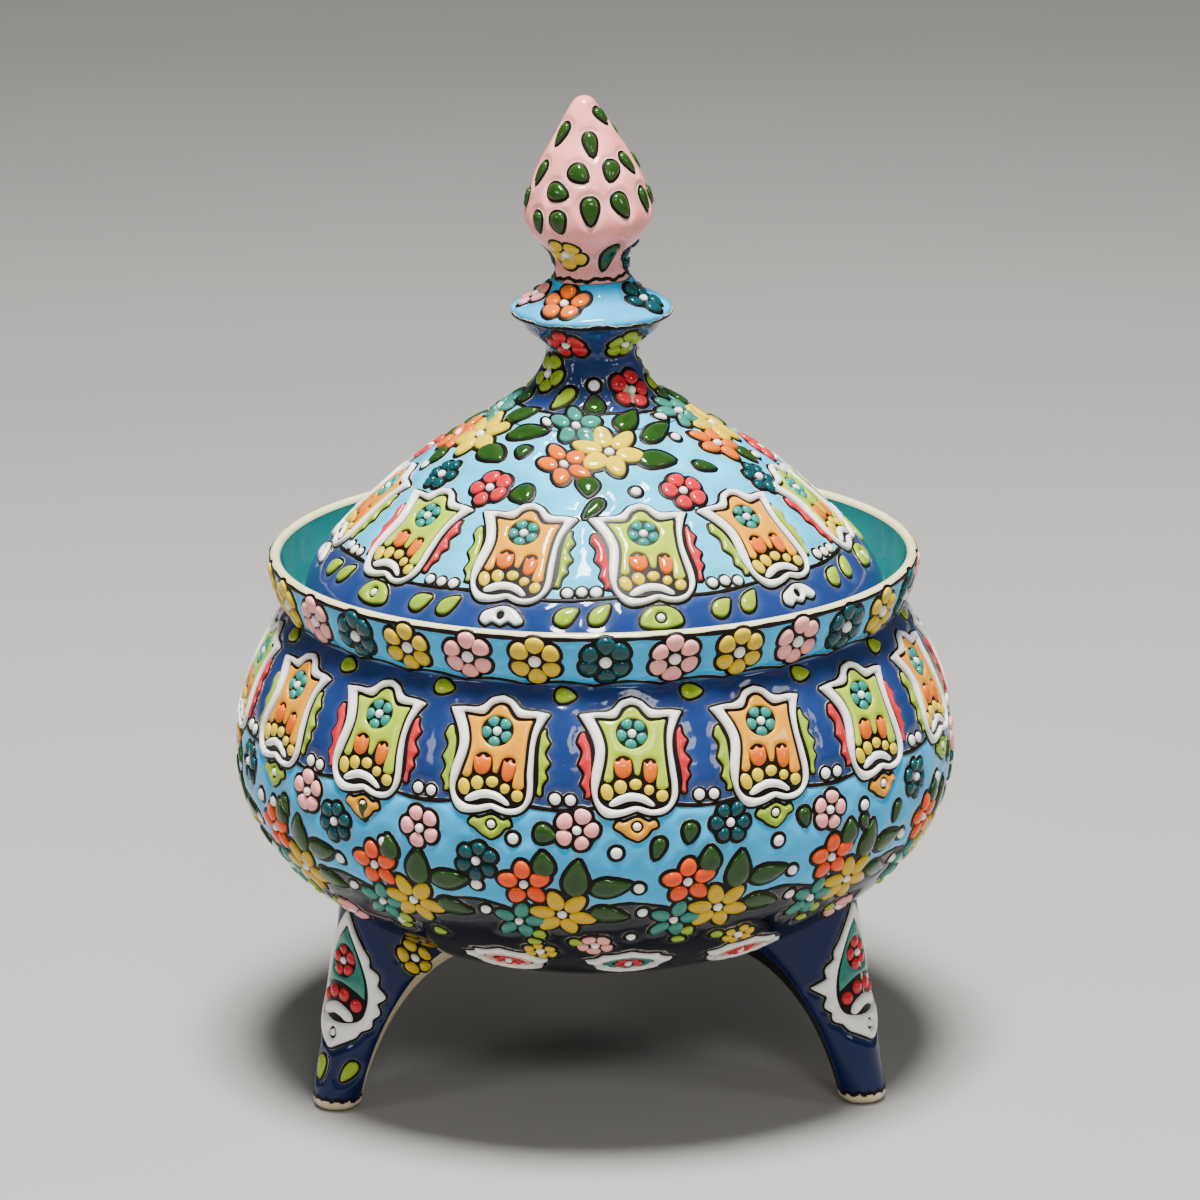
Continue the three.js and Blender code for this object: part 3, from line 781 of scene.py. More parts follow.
class Turned:
    """A thrown surface: a profile swept round an axis that may lean a little."""

    def __init__(self, profile: Array, lean: float = 0.0, seat: float = 0.0) -> None:
        """Measures a profile.

        Args:
            profile: Its (radius, height) points, upwards on the outside.
            lean: How far its axis leans towards -X, in degrees.
            seat: The height that it leans about; the profile's own heights start from there.
        """
        self.profile = np.asarray(profile, float)
        steps = np.linalg.norm(np.diff(self.profile, axis=0), axis=1)
        self.along = np.concatenate([[0.0], np.cumsum(steps)])
        run = np.gradient(self.profile, self.along, axis=0)
        run /= np.linalg.norm(run, axis=1, keepdims=True)
        self.normal = np.column_stack([run[:, 1], -run[:, 0]])
        self.lean, self.seat = math.radians(lean), seat

    @property
    def length(self) -> float:
        """The profile's length."""
        return float(self.along[-1])

    def at(self, s: Array) -> tuple[Array, Array, Array, Array]:
        """Gives the radius, the height and the normal's two parts at distances along the profile."""
        columns = (self.profile[:, 0], self.profile[:, 1], self.normal[:, 0], self.normal[:, 1])
        return tuple(np.interp(s, self.along, column) for column in columns)

    def place(self, angle: Array, s: Array, lift: Array) -> Array:
        """Gives points in space from angles in radians, distances along the profile and heights above it."""
        r, z, out, up = self.at(s)
        return self.stand(angle, r + lift * out, z + lift * up)

    def stand(self, angle: Array, r: Array, z: Array) -> Array:
        """Gives points in space from angles, radii and heights."""
        x, y = r * np.sin(angle), -r * np.cos(angle)
        c, s = math.cos(self.lean), math.sin(self.lean)
        return np.stack([x * c - z * s, y, x * s + z * c + self.seat], axis=-1)

    def carry(self, azimuth: float, s: float) -> Carry:
        """Gives the function that carries a flat drawing to a place, keeping its widths and heights."""
        def carried(flat: Array) -> Array:
            """Gives the drawing's points in space."""
            high = np.clip(s + flat[:, 1], 0.05, self.length - 0.05)
            r = np.maximum(self.at(high)[0], 1.0)
            return self.place(math.radians(azimuth) + flat[:, 0] / r, high, flat[:, 2])
        return carried


# From skins to pieces


def mesh_of(name: str, skin: Skin) -> Mesh:
    """Makes a Blender mesh of a skin, in metres, with its depth and tint."""
    mesh = bpy.data.meshes.new(name)
    mesh.from_pydata((skin.points * MM).tolist(), [], skin.faces)
    mesh.attributes.new("depth", "FLOAT", "POINT").data.foreach_set("value", skin.depth.astype(np.float32))
    if skin.tint is not None:
        colours = np.column_stack([skin.tint, np.ones(len(skin.tint))]).astype(np.float32)
        mesh.attributes.new("tint", "FLOAT_COLOR", "POINT").data.foreach_set("color", colours.ravel())
    if skin.finish is not None:
        mesh.polygons.foreach_set("material_index", skin.finish)
    mesh.polygons.foreach_set("use_smooth", [True] * len(mesh.polygons))
    mesh.update()
    return mesh


def skin_of(mesh: Mesh) -> Skin:
    """Reads a Blender mesh back as a skin in millimetres."""
    points = np.empty(len(mesh.vertices) * 3, np.float32)
    mesh.vertices.foreach_get("co", points)
    depth = np.empty(len(mesh.vertices), np.float32)
    mesh.attributes["depth"].data.foreach_get("value", depth)
    return Skin(points.reshape(-1, 3) / MM, [tuple(face.vertices) for face in mesh.polygons], depth)


@dataclass(frozen=True)
class Fitting:
    """The body that a piece is fastened to, and a slot name."""

    body: str
    slot: str


def make_piece(name: str, skin: Skin, finishes: Sequence[Material], fitting: Fitting,
               stands_for: Sequence[str] = ()) -> Object:
    """Makes one finished piece.

    Args:
        name: The piece's name.
        skin: Its mesh.
        finishes: Its materials, in the order of the skin's finish numbers.
        fitting: Its body and material slot.
        stands_for: The CAD nodes that it replaces.

    Returns:
        The piece's object, at the origin.
    """
    piece = bpy.data.objects.new(name, mesh_of(name, skin))
    for finish in finishes:
        piece.data.materials.append(finish)
    bpy.context.scene.collection.objects.link(piece)
    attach(piece, fitting.body)
    if stands_for:
        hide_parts(*stands_for)
    log.info("%s: %d faces on %s", name, len(piece.data.polygons), fitting.body)
    return piece


class HandRepeat:
    """Geometry Nodes that set a motif round the axis at given turns, each drawn a little differently."""

    def __init__(self) -> None:
        """Builds the tree once; its inputs are set on each modifier."""
        self.tree = tree = bpy.data.node_groups.new("hand_repeat", "GeometryNodeTree")
        kinds = {"Places": "Geometry", "Motif": "Object", "Wander": "Float", "Stride": "Float",
                 "Seed": "Float", "Finish": "Material"}
        self.sockets = {name: tree.interface.new_socket(name, in_out="INPUT", socket_type=f"NodeSocket{kind}")
                        for name, kind in kinds.items()}
        tree.interface.new_socket("Repeated", in_out="OUTPUT", socket_type="NodeSocketGeometry")
        add = partial(add_node, tree)
        given = add("NodeGroupInput").outputs
        motif = add("GeometryNodeObjectInfo", {"Object": given["Motif"]})
        turn = add("GeometryNodeInputNamedAttribute", {"Name": "turn"}, data_type="FLOAT")
        spin = add("FunctionNodeAxisAngleToRotation", {"Axis": (0, 0, 1), "Angle": turn})
        copies = add("GeometryNodeInstanceOnPoints", {
            "Points": given["Places"], "Instance": motif.outputs["Geometry"], "Rotation": spin})
        solid = add("GeometryNodeRealizeInstances", {0: copies})
        # The hand wanders sideways by a noise of the place, so it slides along the turned surface.
        place = add("GeometryNodeInputPosition")
        noise = add("ShaderNodeTexNoise", {"Vector": place, "W": given["Seed"], "Scale": given["Stride"],
                                           "Detail": 1}, noise_dimensions="4D")
        even = add("ShaderNodeMath", {0: noise, 1: 0.5}, operation="SUBTRACT")
        slide = add("ShaderNodeMath", {0: even, 1: given["Wander"]}, operation="MULTIPLY")
        level = add("ShaderNodeVectorMath", {0: place, 1: (1, 1, 0)}, operation="MULTIPLY")
        reach = add("ShaderNodeVectorMath", {0: level}, operation="LENGTH")
        angle = add("ShaderNodeMath", {0: slide, 1: reach.outputs["Value"]}, operation="DIVIDE")
        slid = add("ShaderNodeVectorRotate", {"Vector": place, "Axis": (0, 0, 1), "Angle": angle})
        bent = add("GeometryNodeSetPosition", {"Geometry": solid, "Position": slid})
        done = add("GeometryNodeSetMaterial", {"Geometry": bent, "Material": given["Finish"]})
        add("NodeGroupOutput", {0: done})

    def run(self, template: Skin, turns: Sequence[float], finish: Material, wander: float) -> Skin:
        """Repeats a skin that was made at azimuth 0.

        Args:
            template: The skin.
            turns: The azimuths of the copies, in degrees.
            finish: The copies' material.
            wander: How far the hand strays, in millimetres.

        Returns:
            All the copies as one skin.
        """
        places = bpy.data.meshes.new("places")
        places.from_pydata([(0.0, 0.0, 0.0)] * len(turns), [], [])
        places.attributes.new("turn", "FLOAT", "POINT").data.foreach_set("value", np.radians(turns))
        host = bpy.data.objects.new("places", places)
        motif = bpy.data.objects.new("motif", mesh_of("motif", template))
        for thing in (host, motif):
            bpy.context.scene.collection.objects.link(thing)
        modifier = host.modifiers.new("hand_repeat", "NODES")
        modifier.node_group = self.tree
        for name, value in (("Motif", motif), ("Wander", wander * MM), ("Stride", 1 / (HAND_STRIDE * MM)),
                            ("Seed", float(SEED)), ("Finish", finish)):
            modifier[self.sockets[name].identifier] = value
        graph = bpy.context.evaluated_depsgraph_get()
        result = bpy.data.meshes.new_from_object(host.evaluated_get(graph), depsgraph=graph)
        made = skin_of(result)
        host.modifiers.remove(modifier)
        # A mesh that is removed takes its object with it.
        for mesh in (places, motif.data, result):
            bpy.data.meshes.remove(mesh)
        return made


class Palette:
    """The finishes, each made once, when it is first wanted."""

    def __init__(self) -> None:
        """Starts with no finish made."""
        self.made: dict[object, Material] = {}

    def of(self, finish: object) -> Material:
        """Gives the material of a finish or of a pigment."""
        if finish not in self.made:
            maker = finish
            if isinstance(finish, Pigment):
                maker = ResistLine() if finish is RESIST else TrailedEnamel(finish)
            self.made[finish] = maker.material()
        return self.made[finish]


class Trailing:
    """The trailed work of one part of the dish, gathered by colour and made into one piece per colour."""

    def __init__(self, name: str, fitting: Fitting, palette: Palette, repeat: HandRepeat,
                 line: float) -> None:
        """Starts with nothing laid."""
        self.name, self.fitting, self.palette, self.repeat, self.line = name, fitting, palette, repeat, line
        self.skins: dict[Pigment, list[Skin]] = {}
        self.rounds: list[tuple[dict[Pigment, list[Skin]], Sequence[float], float]] = []

    def lay(self, motif: Motif, carry: Carry, skins: dict[Pigment, list[Skin]] | None = None) -> None:
        """Lays a motif at one place, among the part's own skins or among others."""
        for pigment, skin in with_lines(motif, self.line):
            (self.skins if skins is None else skins).setdefault(pigment, []).append(skin.on(carry))

    def lay_line(self, skin: Skin) -> None:
        """Lays a dry line that is already in space."""
        self.skins.setdefault(RESIST, []).append(skin)

    def lay_round(self, motifs: Sequence[Motif], carry: Carry, turns: Sequence[float],
                  wander: float = 1.3) -> None:
        """Lays motifs, carried to azimuth 0, again at each of the turns.

        Args:
            motifs: The motifs.
            carry: What carries them to azimuth 0.
            turns: The azimuths, in degrees.
            wander: How far the hand strays, in millimetres.
        """
        skins: dict[Pigment, list[Skin]] = {}
        for motif in motifs:
            self.lay(motif, carry, skins)
        self.rounds.append((skins, turns, wander))

    def lay_dots(self, surface: Turned, places: Places, width: float) -> None:
        """Lets white drops fall at places on a surface."""
        for place in places:
            self.lay([dot(WHITE, (0, 0), width)], surface.carry(*place))

    def lay_seeds(self, surface: Turned, rows: Iterable[Sequence[float]], pigment: Pigment = LEAF) -> None:
        """Lays narrow drops, by rows of azimuth, distance along the profile, length, width and turn."""
        for azimuth, s, *shape in rows:
            self.lay([seed((0, 0), *shape, pigment)], surface.carry(azimuth, s))

    def pieces(self, stands_for: dict[Pigment, Sequence[str]] | None = None) -> Array:
        """Makes the pieces.

        Args:
            stands_for: The CAD nodes that the piece of a colour replaces.

        Returns:
            The points of the dry lines, which the ground glaze keeps clear of.
        """
        wanted = set(self.skins).union(*(skins for skins, _, _ in self.rounds))
        for pigment in (p for p in Pigment if p in wanted):
            finish = self.palette.of(pigment)
            parts = [*self.skins.get(pigment, []), *(
                self.repeat.run(Skin.joined(skins[pigment]), turns, finish, wander)
                for skins, turns, wander in self.rounds if pigment in skins)]
            skin = Skin.joined(parts)
            kind = "resist_lines" if pigment is RESIST else pigment.name.lower()
            replaced = (stands_for or {}).get(pigment, ())
            make_piece(f"{self.name}_{kind}", skin, [finish], self.fitting, replaced)
        # The dry line is the last of the pigments, and every part has one.
        return skin.points[skin.depth > 0.5]


def ribbon(surface: Turned, centre: Callable[[Array], Array], width: float, count: int = 420) -> Skin:
    """Makes a dry line that runs round a turned surface.

    Args:
        surface: The surface.
        centre: Gives the line's distance along the profile for azimuths in degrees.
        width: The line's width.
        count: How many steps it has.

    Returns:
        The closed skin.
    """
    azimuth = np.linspace(0, 360, count, endpoint=False)
    middle = centre(azimuth)
    swell = 1 + 0.18 * np.sin(np.radians(azimuth) * 37) + 0.12 * np.sin(np.radians(azimuth) * 71 + 1)
    half = width / 2 * swell
    section = ((-1, -HALO_WIDTH, -0.1, 0.0), (-1, 0, LINE_RISE, 1.0), (0, 0, LINE_RISE * 1.3, 1.0),
               (1, 0, LINE_RISE, 1.0), (1, HALO_WIDTH, -0.1, 0.0), (1, HALO_WIDTH, SUNK, 0.0),
               (-1, -HALO_WIDTH, SUNK, 0.0))
    rows = [surface.place(np.radians(azimuth), middle + side * half + extra, np.full(count, lift))
            for side, extra, lift, _ in section]
    wide = len(section)
    faces = [(at * wide + k, (at + 1) % count * wide + k, (at + 1) % count * wide + (k + 1) % wide,
              at * wide + (k + 1) % wide) for at in range(count) for k in range(wide)]
    depth = np.tile([share for *_, share in section], count)
    return Skin(np.stack(rows, axis=1).reshape(-1, 3), faces, depth)


@dataclass(frozen=True)
class Band:
    """A stretch of a coat's profile: its rows, its finish, and its distances along where glaze pools."""

    rows: Array
    finish: int = 0
    s: Array | None = None

    @classmethod
    def flooded(cls, surface: Turned, s: Array) -> "Band":
        """Gives a stretch of a surface on which the glaze pools."""
        return cls(np.column_stack(surface.at(s)[:2]), 0, s)


class Pooling:
    """Where the flooded glaze stands: sunk beside the dry lines and full away from them."""

    def __init__(self, lines: Array) -> None:
        """Sorts the points of the dry lines, so that the nearest one is quickly found."""
        self.tree = KDTree(len(lines))
        for number, spot in enumerate(lines.tolist()):
            self.tree.insert(spot, number)
        self.tree.balance()

    def share(self, places: Array) -> Array:
        """Gives the share of its full thickness that the glaze has at each place."""
        far = np.array([self.tree.find(spot)[2] for spot in places.tolist()])
        share = np.clip((far - GROUND_CLEAR) / (GROUND_ROUND - GROUND_CLEAR), 0, 1)
        return share * share * (3 - 2 * share)


def coat(surface: Turned, bands: Sequence[Band], columns: int, lines: Array,
         tint: Callable[[Array, Array], Array]) -> Skin:
    """Makes a glazed body: a closed turned mesh on which the glaze stands up away from the dry lines.

    Args:
        surface: The turned surface, for its lean and its normals.
        bands: The stretches of the profile, from pole to pole, each starting where the last ends.
        columns: How many facets it has round.
        lines: Points of the dry lines.
        tint: Gives linear colours for azimuths in degrees and distances along the profile.

    Returns:
        The closed skin.
    """
    azimuth = np.linspace(0, 360, columns, endpoint=False)
    angle, whole = np.radians(azimuth), np.ones(columns)
    pooling = Pooling(lines)
    points, depth, tints, numbers = [], [], [], []
    for band in bands:
        for at, (r, z) in enumerate(band.rows):
            if band.s is not None:
                s = band.s[at] * whole
                share = pooling.share(surface.place(angle, s, 0 * s))
                points.append(surface.place(angle, s, WELL + (GROUND_RISE - WELL) * share))
                depth.append(share)
                tints.append(tint(azimuth, s))
            else:
                points.append(surface.stand(angle, r * whole, z * whole))
                depth.append(whole)
                tints.append(np.zeros((columns, 3)))
            numbers.append(band.finish)
    rings = len(points) - 2
    top = 1 + rings * columns
    faces, finish = [], []
    for start, number in zip(range(1, top - columns, columns), numbers[2:]):
        faces += [(start + at, start + (at + 1) % columns, start + columns + (at + 1) % columns,
                   start + columns + at) for at in range(columns)]
        finish += [number] * columns
    for at in range(columns):
        onward = (at + 1) % columns
        faces += [(0, 1 + onward, 1 + at), (top, top - columns + at, top - columns + onward)]
        finish += [numbers[1], numbers[-1]]

    def capped(rows: list[Array]) -> Array:
        """Joins rows of values, with a single value for each pole."""
        return np.concatenate([rows[0][:1], *rows[1:-1], rows[-1][:1]])

    return Skin(capped(points), faces, capped(depth), capped(tints), finish)


# Patterns


class Patterns:
    """The motifs of the dish, each drawn flat in millimetres round its own middle or foot."""

    def __init__(self, brush: Brush) -> None:
        """Keeps the hand that draws."""
        self.brush = brush

    def palmette(self, ground: Pigment, fringe: Pigment) -> Motif:
        """Draws a framed palmette that stands on v = 0: a flower, tulips and seeds, with a fringe each side.

        Args:
            ground: The colour of its field.
            fringe: The colour of the toothed strips beside it.

        Returns:
            Its cells.
        """
        outer = flowing([
            (0.3, 2.2, 1), (2.9, 1.2), (5.9, 1), (8.3, 2.1), (10.2, 4.7), (10.6, 7.8), (10.1, 13),
            (9.7, 17.1), (10.1, 20.8), (11.4, 24.1), (12.7, 26.3, 1), (9.8, 26.9), (6.8, 27), (4.9, 27.6),
            (3, 29.5), (0.6, 30.6, 1), (-2.3, 29.8), (-4.2, 27.9), (-6.2, 27), (-9.2, 26.9), (-13, 26.4, 1),
            (-10.6, 21.8), (-9.6, 18.2), (-9.8, 15.4), (-10.7, 11.6), (-11, 8), (-10.4, 4.6), (-8.9, 1.8),
            (-6.8, 0.7), (-3.2, 1.1)])
        inner = flowing([
            (-9, 25.4, 1), (-7.6, 22.2), (-6.8, 18.5), (-7.1, 15.1), (-8.2, 10.7), (-9.2, 7.1), (-8.8, 5),
            (-6.9, 3.4), (-3.8, 3), (0.2, 3.8), (4.2, 2.7), (7.2, 3.3), (8.5, 5), (8.8, 8), (8.4, 11.8),
            (8.1, 17.2), (8.4, 21.6), (9.2, 25, 1), (6.6, 24.8), (4.5, 25), (3.1, 26.4), (1.9, 28),
            (0.3, 28.6, 1), (-1.8, 27.7), (-3.1, 25.8), (-4.6, 25.1)])
        field = flowing([
            (-8.1, 24.7, 1), (-6.9, 21.9), (-6.2, 18.4), (-6.5, 15), (-7.4, 11.4), (-7.8, 10, 1),
            (-6.6, 9.6), (-5.6, 10.4, 1), (-5.5, 12.8), (-4.9, 15), (-2.8, 16.1), (-0.6, 15.1), (0, 12.8),
            (0.1, 11.2, 1), (1.1, 11.1, 1), (1.6, 12.9), (2.2, 14.6), (3.8, 15.2), (5.4, 14.6), (6, 12.2),
            (5.6, 9.6), (5.5, 7.7, 1), (7, 7.3), (8.2, 7.8, 1), (7.8, 11.8), (7.5, 17.2), (7.7, 21.6),
            (8.4, 24.4, 1), (6.4, 24.2), (4.2, 24.3), (2.6, 25.8), (1.5, 27.4), (0.2, 27.9), (-1.3, 27.1),
            (-2.7, 25.2), (-4.6, 24.5)], spacing=0.6)
        inner, field = widened(inner, 0.3), widened(field, 0.15)
        eye = (0.0, 21.4)
        cells = [Cell(WHITE, outer, 1.2, 0.8, (inner,)),
                 Cell(ground, field, 0.75, 0.7, (petal(7.6, 8.2, 0.0) + (0.0, 17.6),)),
                 dot(WHITE, eye, 2.3, rise=1.1)]
        around = Cell(TEAL, petal(2.6, 3.0, 0.15) + (0, 1.35), 1.0)
        cells += [around.moved(eye, 26 + 72 * k) for k in range(5)]
        tulip = flowing([
            (0, 0), (1.8, 0.9), (2.3, 2.9), (2.1, 4.6, 1), (1.1, 4.2), (0.1, 5.1, 1), (-1, 4.2),
            (-2.1, 4.7, 1), (-2.3, 2.8), (-1.8, 0.8)], spacing=0.5)
        cells += [Cell(TANGERINE, tulip, LEAF_RISE).moved((-2.75, 10.4), 3),
                  Cell(TANGERINE, tulip * np.array([0.76, 1.12]), LEAF_RISE).moved((3.8, 9.0), -4)]
        cells += [dot(LEMON, (0, 0), width, height).moved((u, v), turn) for u, v, width, height, turn in (
            (-7.2, 7.1, 3.1, 4.2, 12), (-3.8, 8.3, 3.3, 3.5, 0), (0.1, 8.8, 3.3, 2.8, 0),
            (3.5, 7.3, 2.6, 2.6, -8), (6.7, 5.7, 3.0, 3.1, -14))]
        crescent = flowing([
            (-6.9, 4.1), (-5.7, 5.3), (-3.6, 6.4), (-0.9, 6.8), (2.1, 6.1), (4.1, 4.6), (4.9, 3.4),
            (3.9, 3.2), (2.6, 3.8), (0.4, 4.6), (-2.2, 4.6), (-4, 4), (-5.9, 3.5)], spacing=0.6)
        return cells + [Cell(WHITE, crescent, LEAF_RISE)] + self.fringe(fringe)

    def fringe(self, colour: Pigment) -> Motif:
        """Draws the toothed strips that stand on both sides of a palmette."""
        left = flowing([
            (-11.2, 6.1), (-12.5, 5.7, 1), (-12.3, 7.3), (-13.4, 9, 1), (-12.5, 10.9), (-12.5, 12),
            (-13.7, 13.9, 1), (-12.7, 16), (-12.6, 17.4), (-13.6, 19.3, 1), (-12.8, 21.3), (-11.8, 21.8),
            (-11.3, 20.2), (-10.6, 17.6), (-10.8, 12), (-11.4, 9)], spacing=0.5)
        right = flowing([
            (11.6, 6.5), (11.8, 9), (11.5, 12.1), (10.9, 16), (10.9, 19.8), (11.2, 21.7), (12, 22.5, 1),
            (12.3, 20.6), (13.5, 18.9, 1), (12.5, 16.9), (12.6, 15.9), (14.1, 13.9, 1), (13.1, 12.1),
            (13.8, 10.3, 1), (12.7, 8.6), (12.6, 6.2)], spacing=0.5)
        return [Cell(colour, loop, 0.85, 0.8) for loop in (left, right)]

    def under_drop(self, colour: Pigment) -> Motif:
        """Draws the scalloped drop under a shoulder palmette, with a white dot on it."""
        eye = petal(3.1, 3.1, 0) + (0.2, -3.2)
        loop = flowing([
            (-5.4, -1.7), (-4.3, -0.2), (-2.9, -0.5), (0.4, 0.6), (3, -0.6), (4.5, -0.2), (5.2, -1.8),
            (3.6, -2.5), (2.3, -4.1), (0.3, -5.4, 1), (-2.1, -4.2), (-3.6, -2.9)], spacing=0.55)
        return [Cell(colour, loop, 0.85, 0.8, (eye,)), dot(WHITE, (0.2, -1.65), 2.2)]

    def belly_spray(self) -> Motif:
        """Draws the belly's spray: a yellow flower with an orange and a turquoise one and pairs of leaves."""
        brush = self.brush
        cells = brush.star(YELLOW, 6, 6.7, 4.3, 2.5, 18)
        cells += moved(brush.star(ORANGE, 5, 5.2, 4.2, 2.4, 4), (-9.2, 9.6))
        cells += moved(brush.star(TURQUOISE, 5, 5.2, 3.8, 2.3, 62), (-10.9, -3.3))
        cells += [brush.leaf((-4.1, 11.8), 7.2, 5.4, 2), brush.leaf((3.0, 6.2), 10.8, 6.2, -10),
                  brush.leaf((7.2, 7.9), 10.8, 5.4, -76), brush.leaf((6.9, 0.8), 9.8, 5.4, -100)]
        cells += [seed((-6.0, -8.9), 3.9, 3.1, 40, OLIVE), seed((-7.6, -12.6), 3.7, 2.4, 80, OLIVE)]
        return cells

    def lid_spray(self) -> Motif:
        """Draws the spray on the lid, which hangs its orange flower lower down."""
        brush = self.brush
        cells = brush.star(LEMON, 6, 7.2, 4.9, 2.6, 12)
        cells += moved(brush.star(TANGERINE, 5, 5.4, 4.4, 2.4, 20), (-12.0, -4.4))
        cells += moved(brush.star(TURQUOISE, 5, 5.0, 4.1, 2.4, 0), (-7.4, 9.0))
        cells += [brush.leaf((3.4, 7.4), 8.2, 5.6, -42), brush.leaf((9.2, 3.6), 10.2, 5.2, -72),
                  brush.leaf((7.0, -2.6), 11.2, 5.6, -108), brush.leaf((-6.6, -8.4), 6.6, 5.2, 172),
                  brush.leaf((-1.6, 13.4), 5.6, 4.8, 4)]
        return cells

    def small(self, colour: Pigment, petals: int = 5, width: float = 10.4, turn: float | None = None,
              eye: float = 2.4) -> Motif:
        """Draws a small flower of plump petals round a white dot."""
        inner = eye / 2 + 0.45
        length = width / 2 - inner
        crowd = 2 * math.pi * (inner + 0.6 * length) / petals
        return self.brush.flower(colour, petals, inner, length, min(crowd - 0.75, length * 1.2), eye, 0.16,
                                 turn)

    def medallion(self, colour: Pigment, heart: Pigment) -> Motif:
        """Draws the low white medallion of the bowl's underside, with a flower on a coloured field."""
        outer = flowing([
            (-12.5, 4, 1), (-9.2, 5.4), (-8, 8.2, 1), (-4.4, 8.4), (0, 10.6, 1), (4.4, 8.4), (8, 8.2, 1),
            (9.2, 5.4), (12.5, 4, 1), (9.8, 0.4), (8.6, -4), (4.4, -7.4), (0, -9.4, 1), (-4.4, -7.4),
            (-8.6, -4), (-9.8, 0.4)])
        inner = flowing([
            (-7.4, 2.2), (-4.6, 6), (0, 7.6, 1), (4.6, 6), (7.4, 2.2), (5.8, -3), (0, -6.4, 1), (-5.8, -3)])
        field = widened(inner, -0.7)
        around = petal(9.4, 9.4, 0) - (0, 4.3)
        cells = [Cell(WHITE, outer, 1.15, 0.9, (inner,)), Cell(colour, field, 0.75, 0.7, (around,))]
        return cells + moved(self.small(heart, 5, 7.8), (0, 0.4))

    def boteh(self, spike: bool) -> Motif:
        """Draws the leg's pointed drop, standing on v = 0: white scallops, a turquoise field and red fruit.

        Args:
            spike: Whether one scallop is drawn out to a spike.

        Returns:
            Its cells.
        """
        tip = (-15.6, 18.6, 1) if spike else (-13.4, 17.2)
        left = [(-3.6, 31.8), (-6.2, 28.4), (-8.2, 26.2), (-8.3, 24.0, 1), (-11.0, 22.6), (-10.8, 19.7, 1),
                tip, (-11.2, 14.8, 1), (-12.4, 12.2), (-10.6, 10.2, 1), (-10.6, 7.8), (-8.0, 6.2, 1),
                (-6.8, 4.2), (-4.2, 2.4, 1), (-2.0, 0.9)]
        outer = flowing([(0.4, 36.8, 1), *left, (0, -0.4, 1), *[(-q[0], *q[1:]) for q in left[::-1]]])
        inner = flowing([
            (0.3, 32.8, 1), (-3.2, 28.8), (-6, 24.2), (-8, 19.2), (-8.6, 13.6), (-6.8, 8.8), (0, 6.9),
            (6.8, 8.8), (8.6, 13.6), (8, 19.2), (6, 24.2), (3.2, 28.8)])
        field = flowing([
            (0.3, 31.8, 1), (-2.8, 28.2), (-5.4, 24), (-7.3, 19.2), (-7.8, 14.9, 1), (-5.3, 16.2),
            (-1.8, 17.2), (1.8, 17.2), (5.3, 16.2), (7.8, 14.9, 1), (7.3, 19.2), (5.4, 24), (2.8, 28.2)])
        around = petal(8.6, 8.8, 0) + (0, 18.7)
        ring = petal(3.2, 2.8, 0) + (0.1, 2.3)
        cells = [Cell(WHITE, outer, 1.25, 1.0, (inner, ring)), Cell(TURQUOISE, field, 0.8, 0.8, (around,))]
        cells += moved(self.small(RED, 5, 8.8, 10, 2.0), (0, 23.0))
        for u, v, turn in ((-5.8, 12.7, 14), (-2.1, 14.4, 6), (1.8, 14.4, -6), (5.7, 12.7, -14)):
            cells.append(dot(RED, (0, 0), 3.3, 3.6, 1.1).moved((u, v), turn))
        hook = flowing([
            (-5.4, 8.7), (-4.2, 10.8), (-0.1, 12.1), (4.1, 10.7), (5.4, 8.6), (3.6, 7.8), (1.8, 8.6),
            (-0.6, 8.9), (-2.6, 8.2), (-4.2, 7.7)], spacing=0.55)
        cells.append(Cell(WHITE, hook, 1.1))
        cells.append(dot(WHITE, (0.1, 3.9), 1.7, 2.0))
        return cells


# The dish


def banded(first: Ground, s: Array, lines: Sequence[tuple[Array | float, Ground]]) -> Array:
    """Gives the colours of ground glazes that follow each other up a surface.

    Args:
        first: The lowest glaze.
        s: The places' distances along the profile.
        lines: Where each further glaze starts, and which it is.

    Returns:
        Linear colours, which change over a millimetre at each line.
    """
    shade = first.colour(len(s))
    for line, ground in lines:
        share = np.clip(s - line + 0.5, 0, 1)[:, None]
        shade = shade * (1 - share) + ground.colour() * share
    return shade


@dataclass
class Part:
    """A part of the dish, with what all parts draw with."""

    palette: Palette
    repeat: HandRepeat
    patterns: Patterns

    def trailing(self, name: str, fitting: Fitting, line: float = BOLD_LINE) -> Trailing:
        """Starts some trailed work with dry lines of a width."""
        return Trailing(name, fitting, self.palette, self.repeat, line)


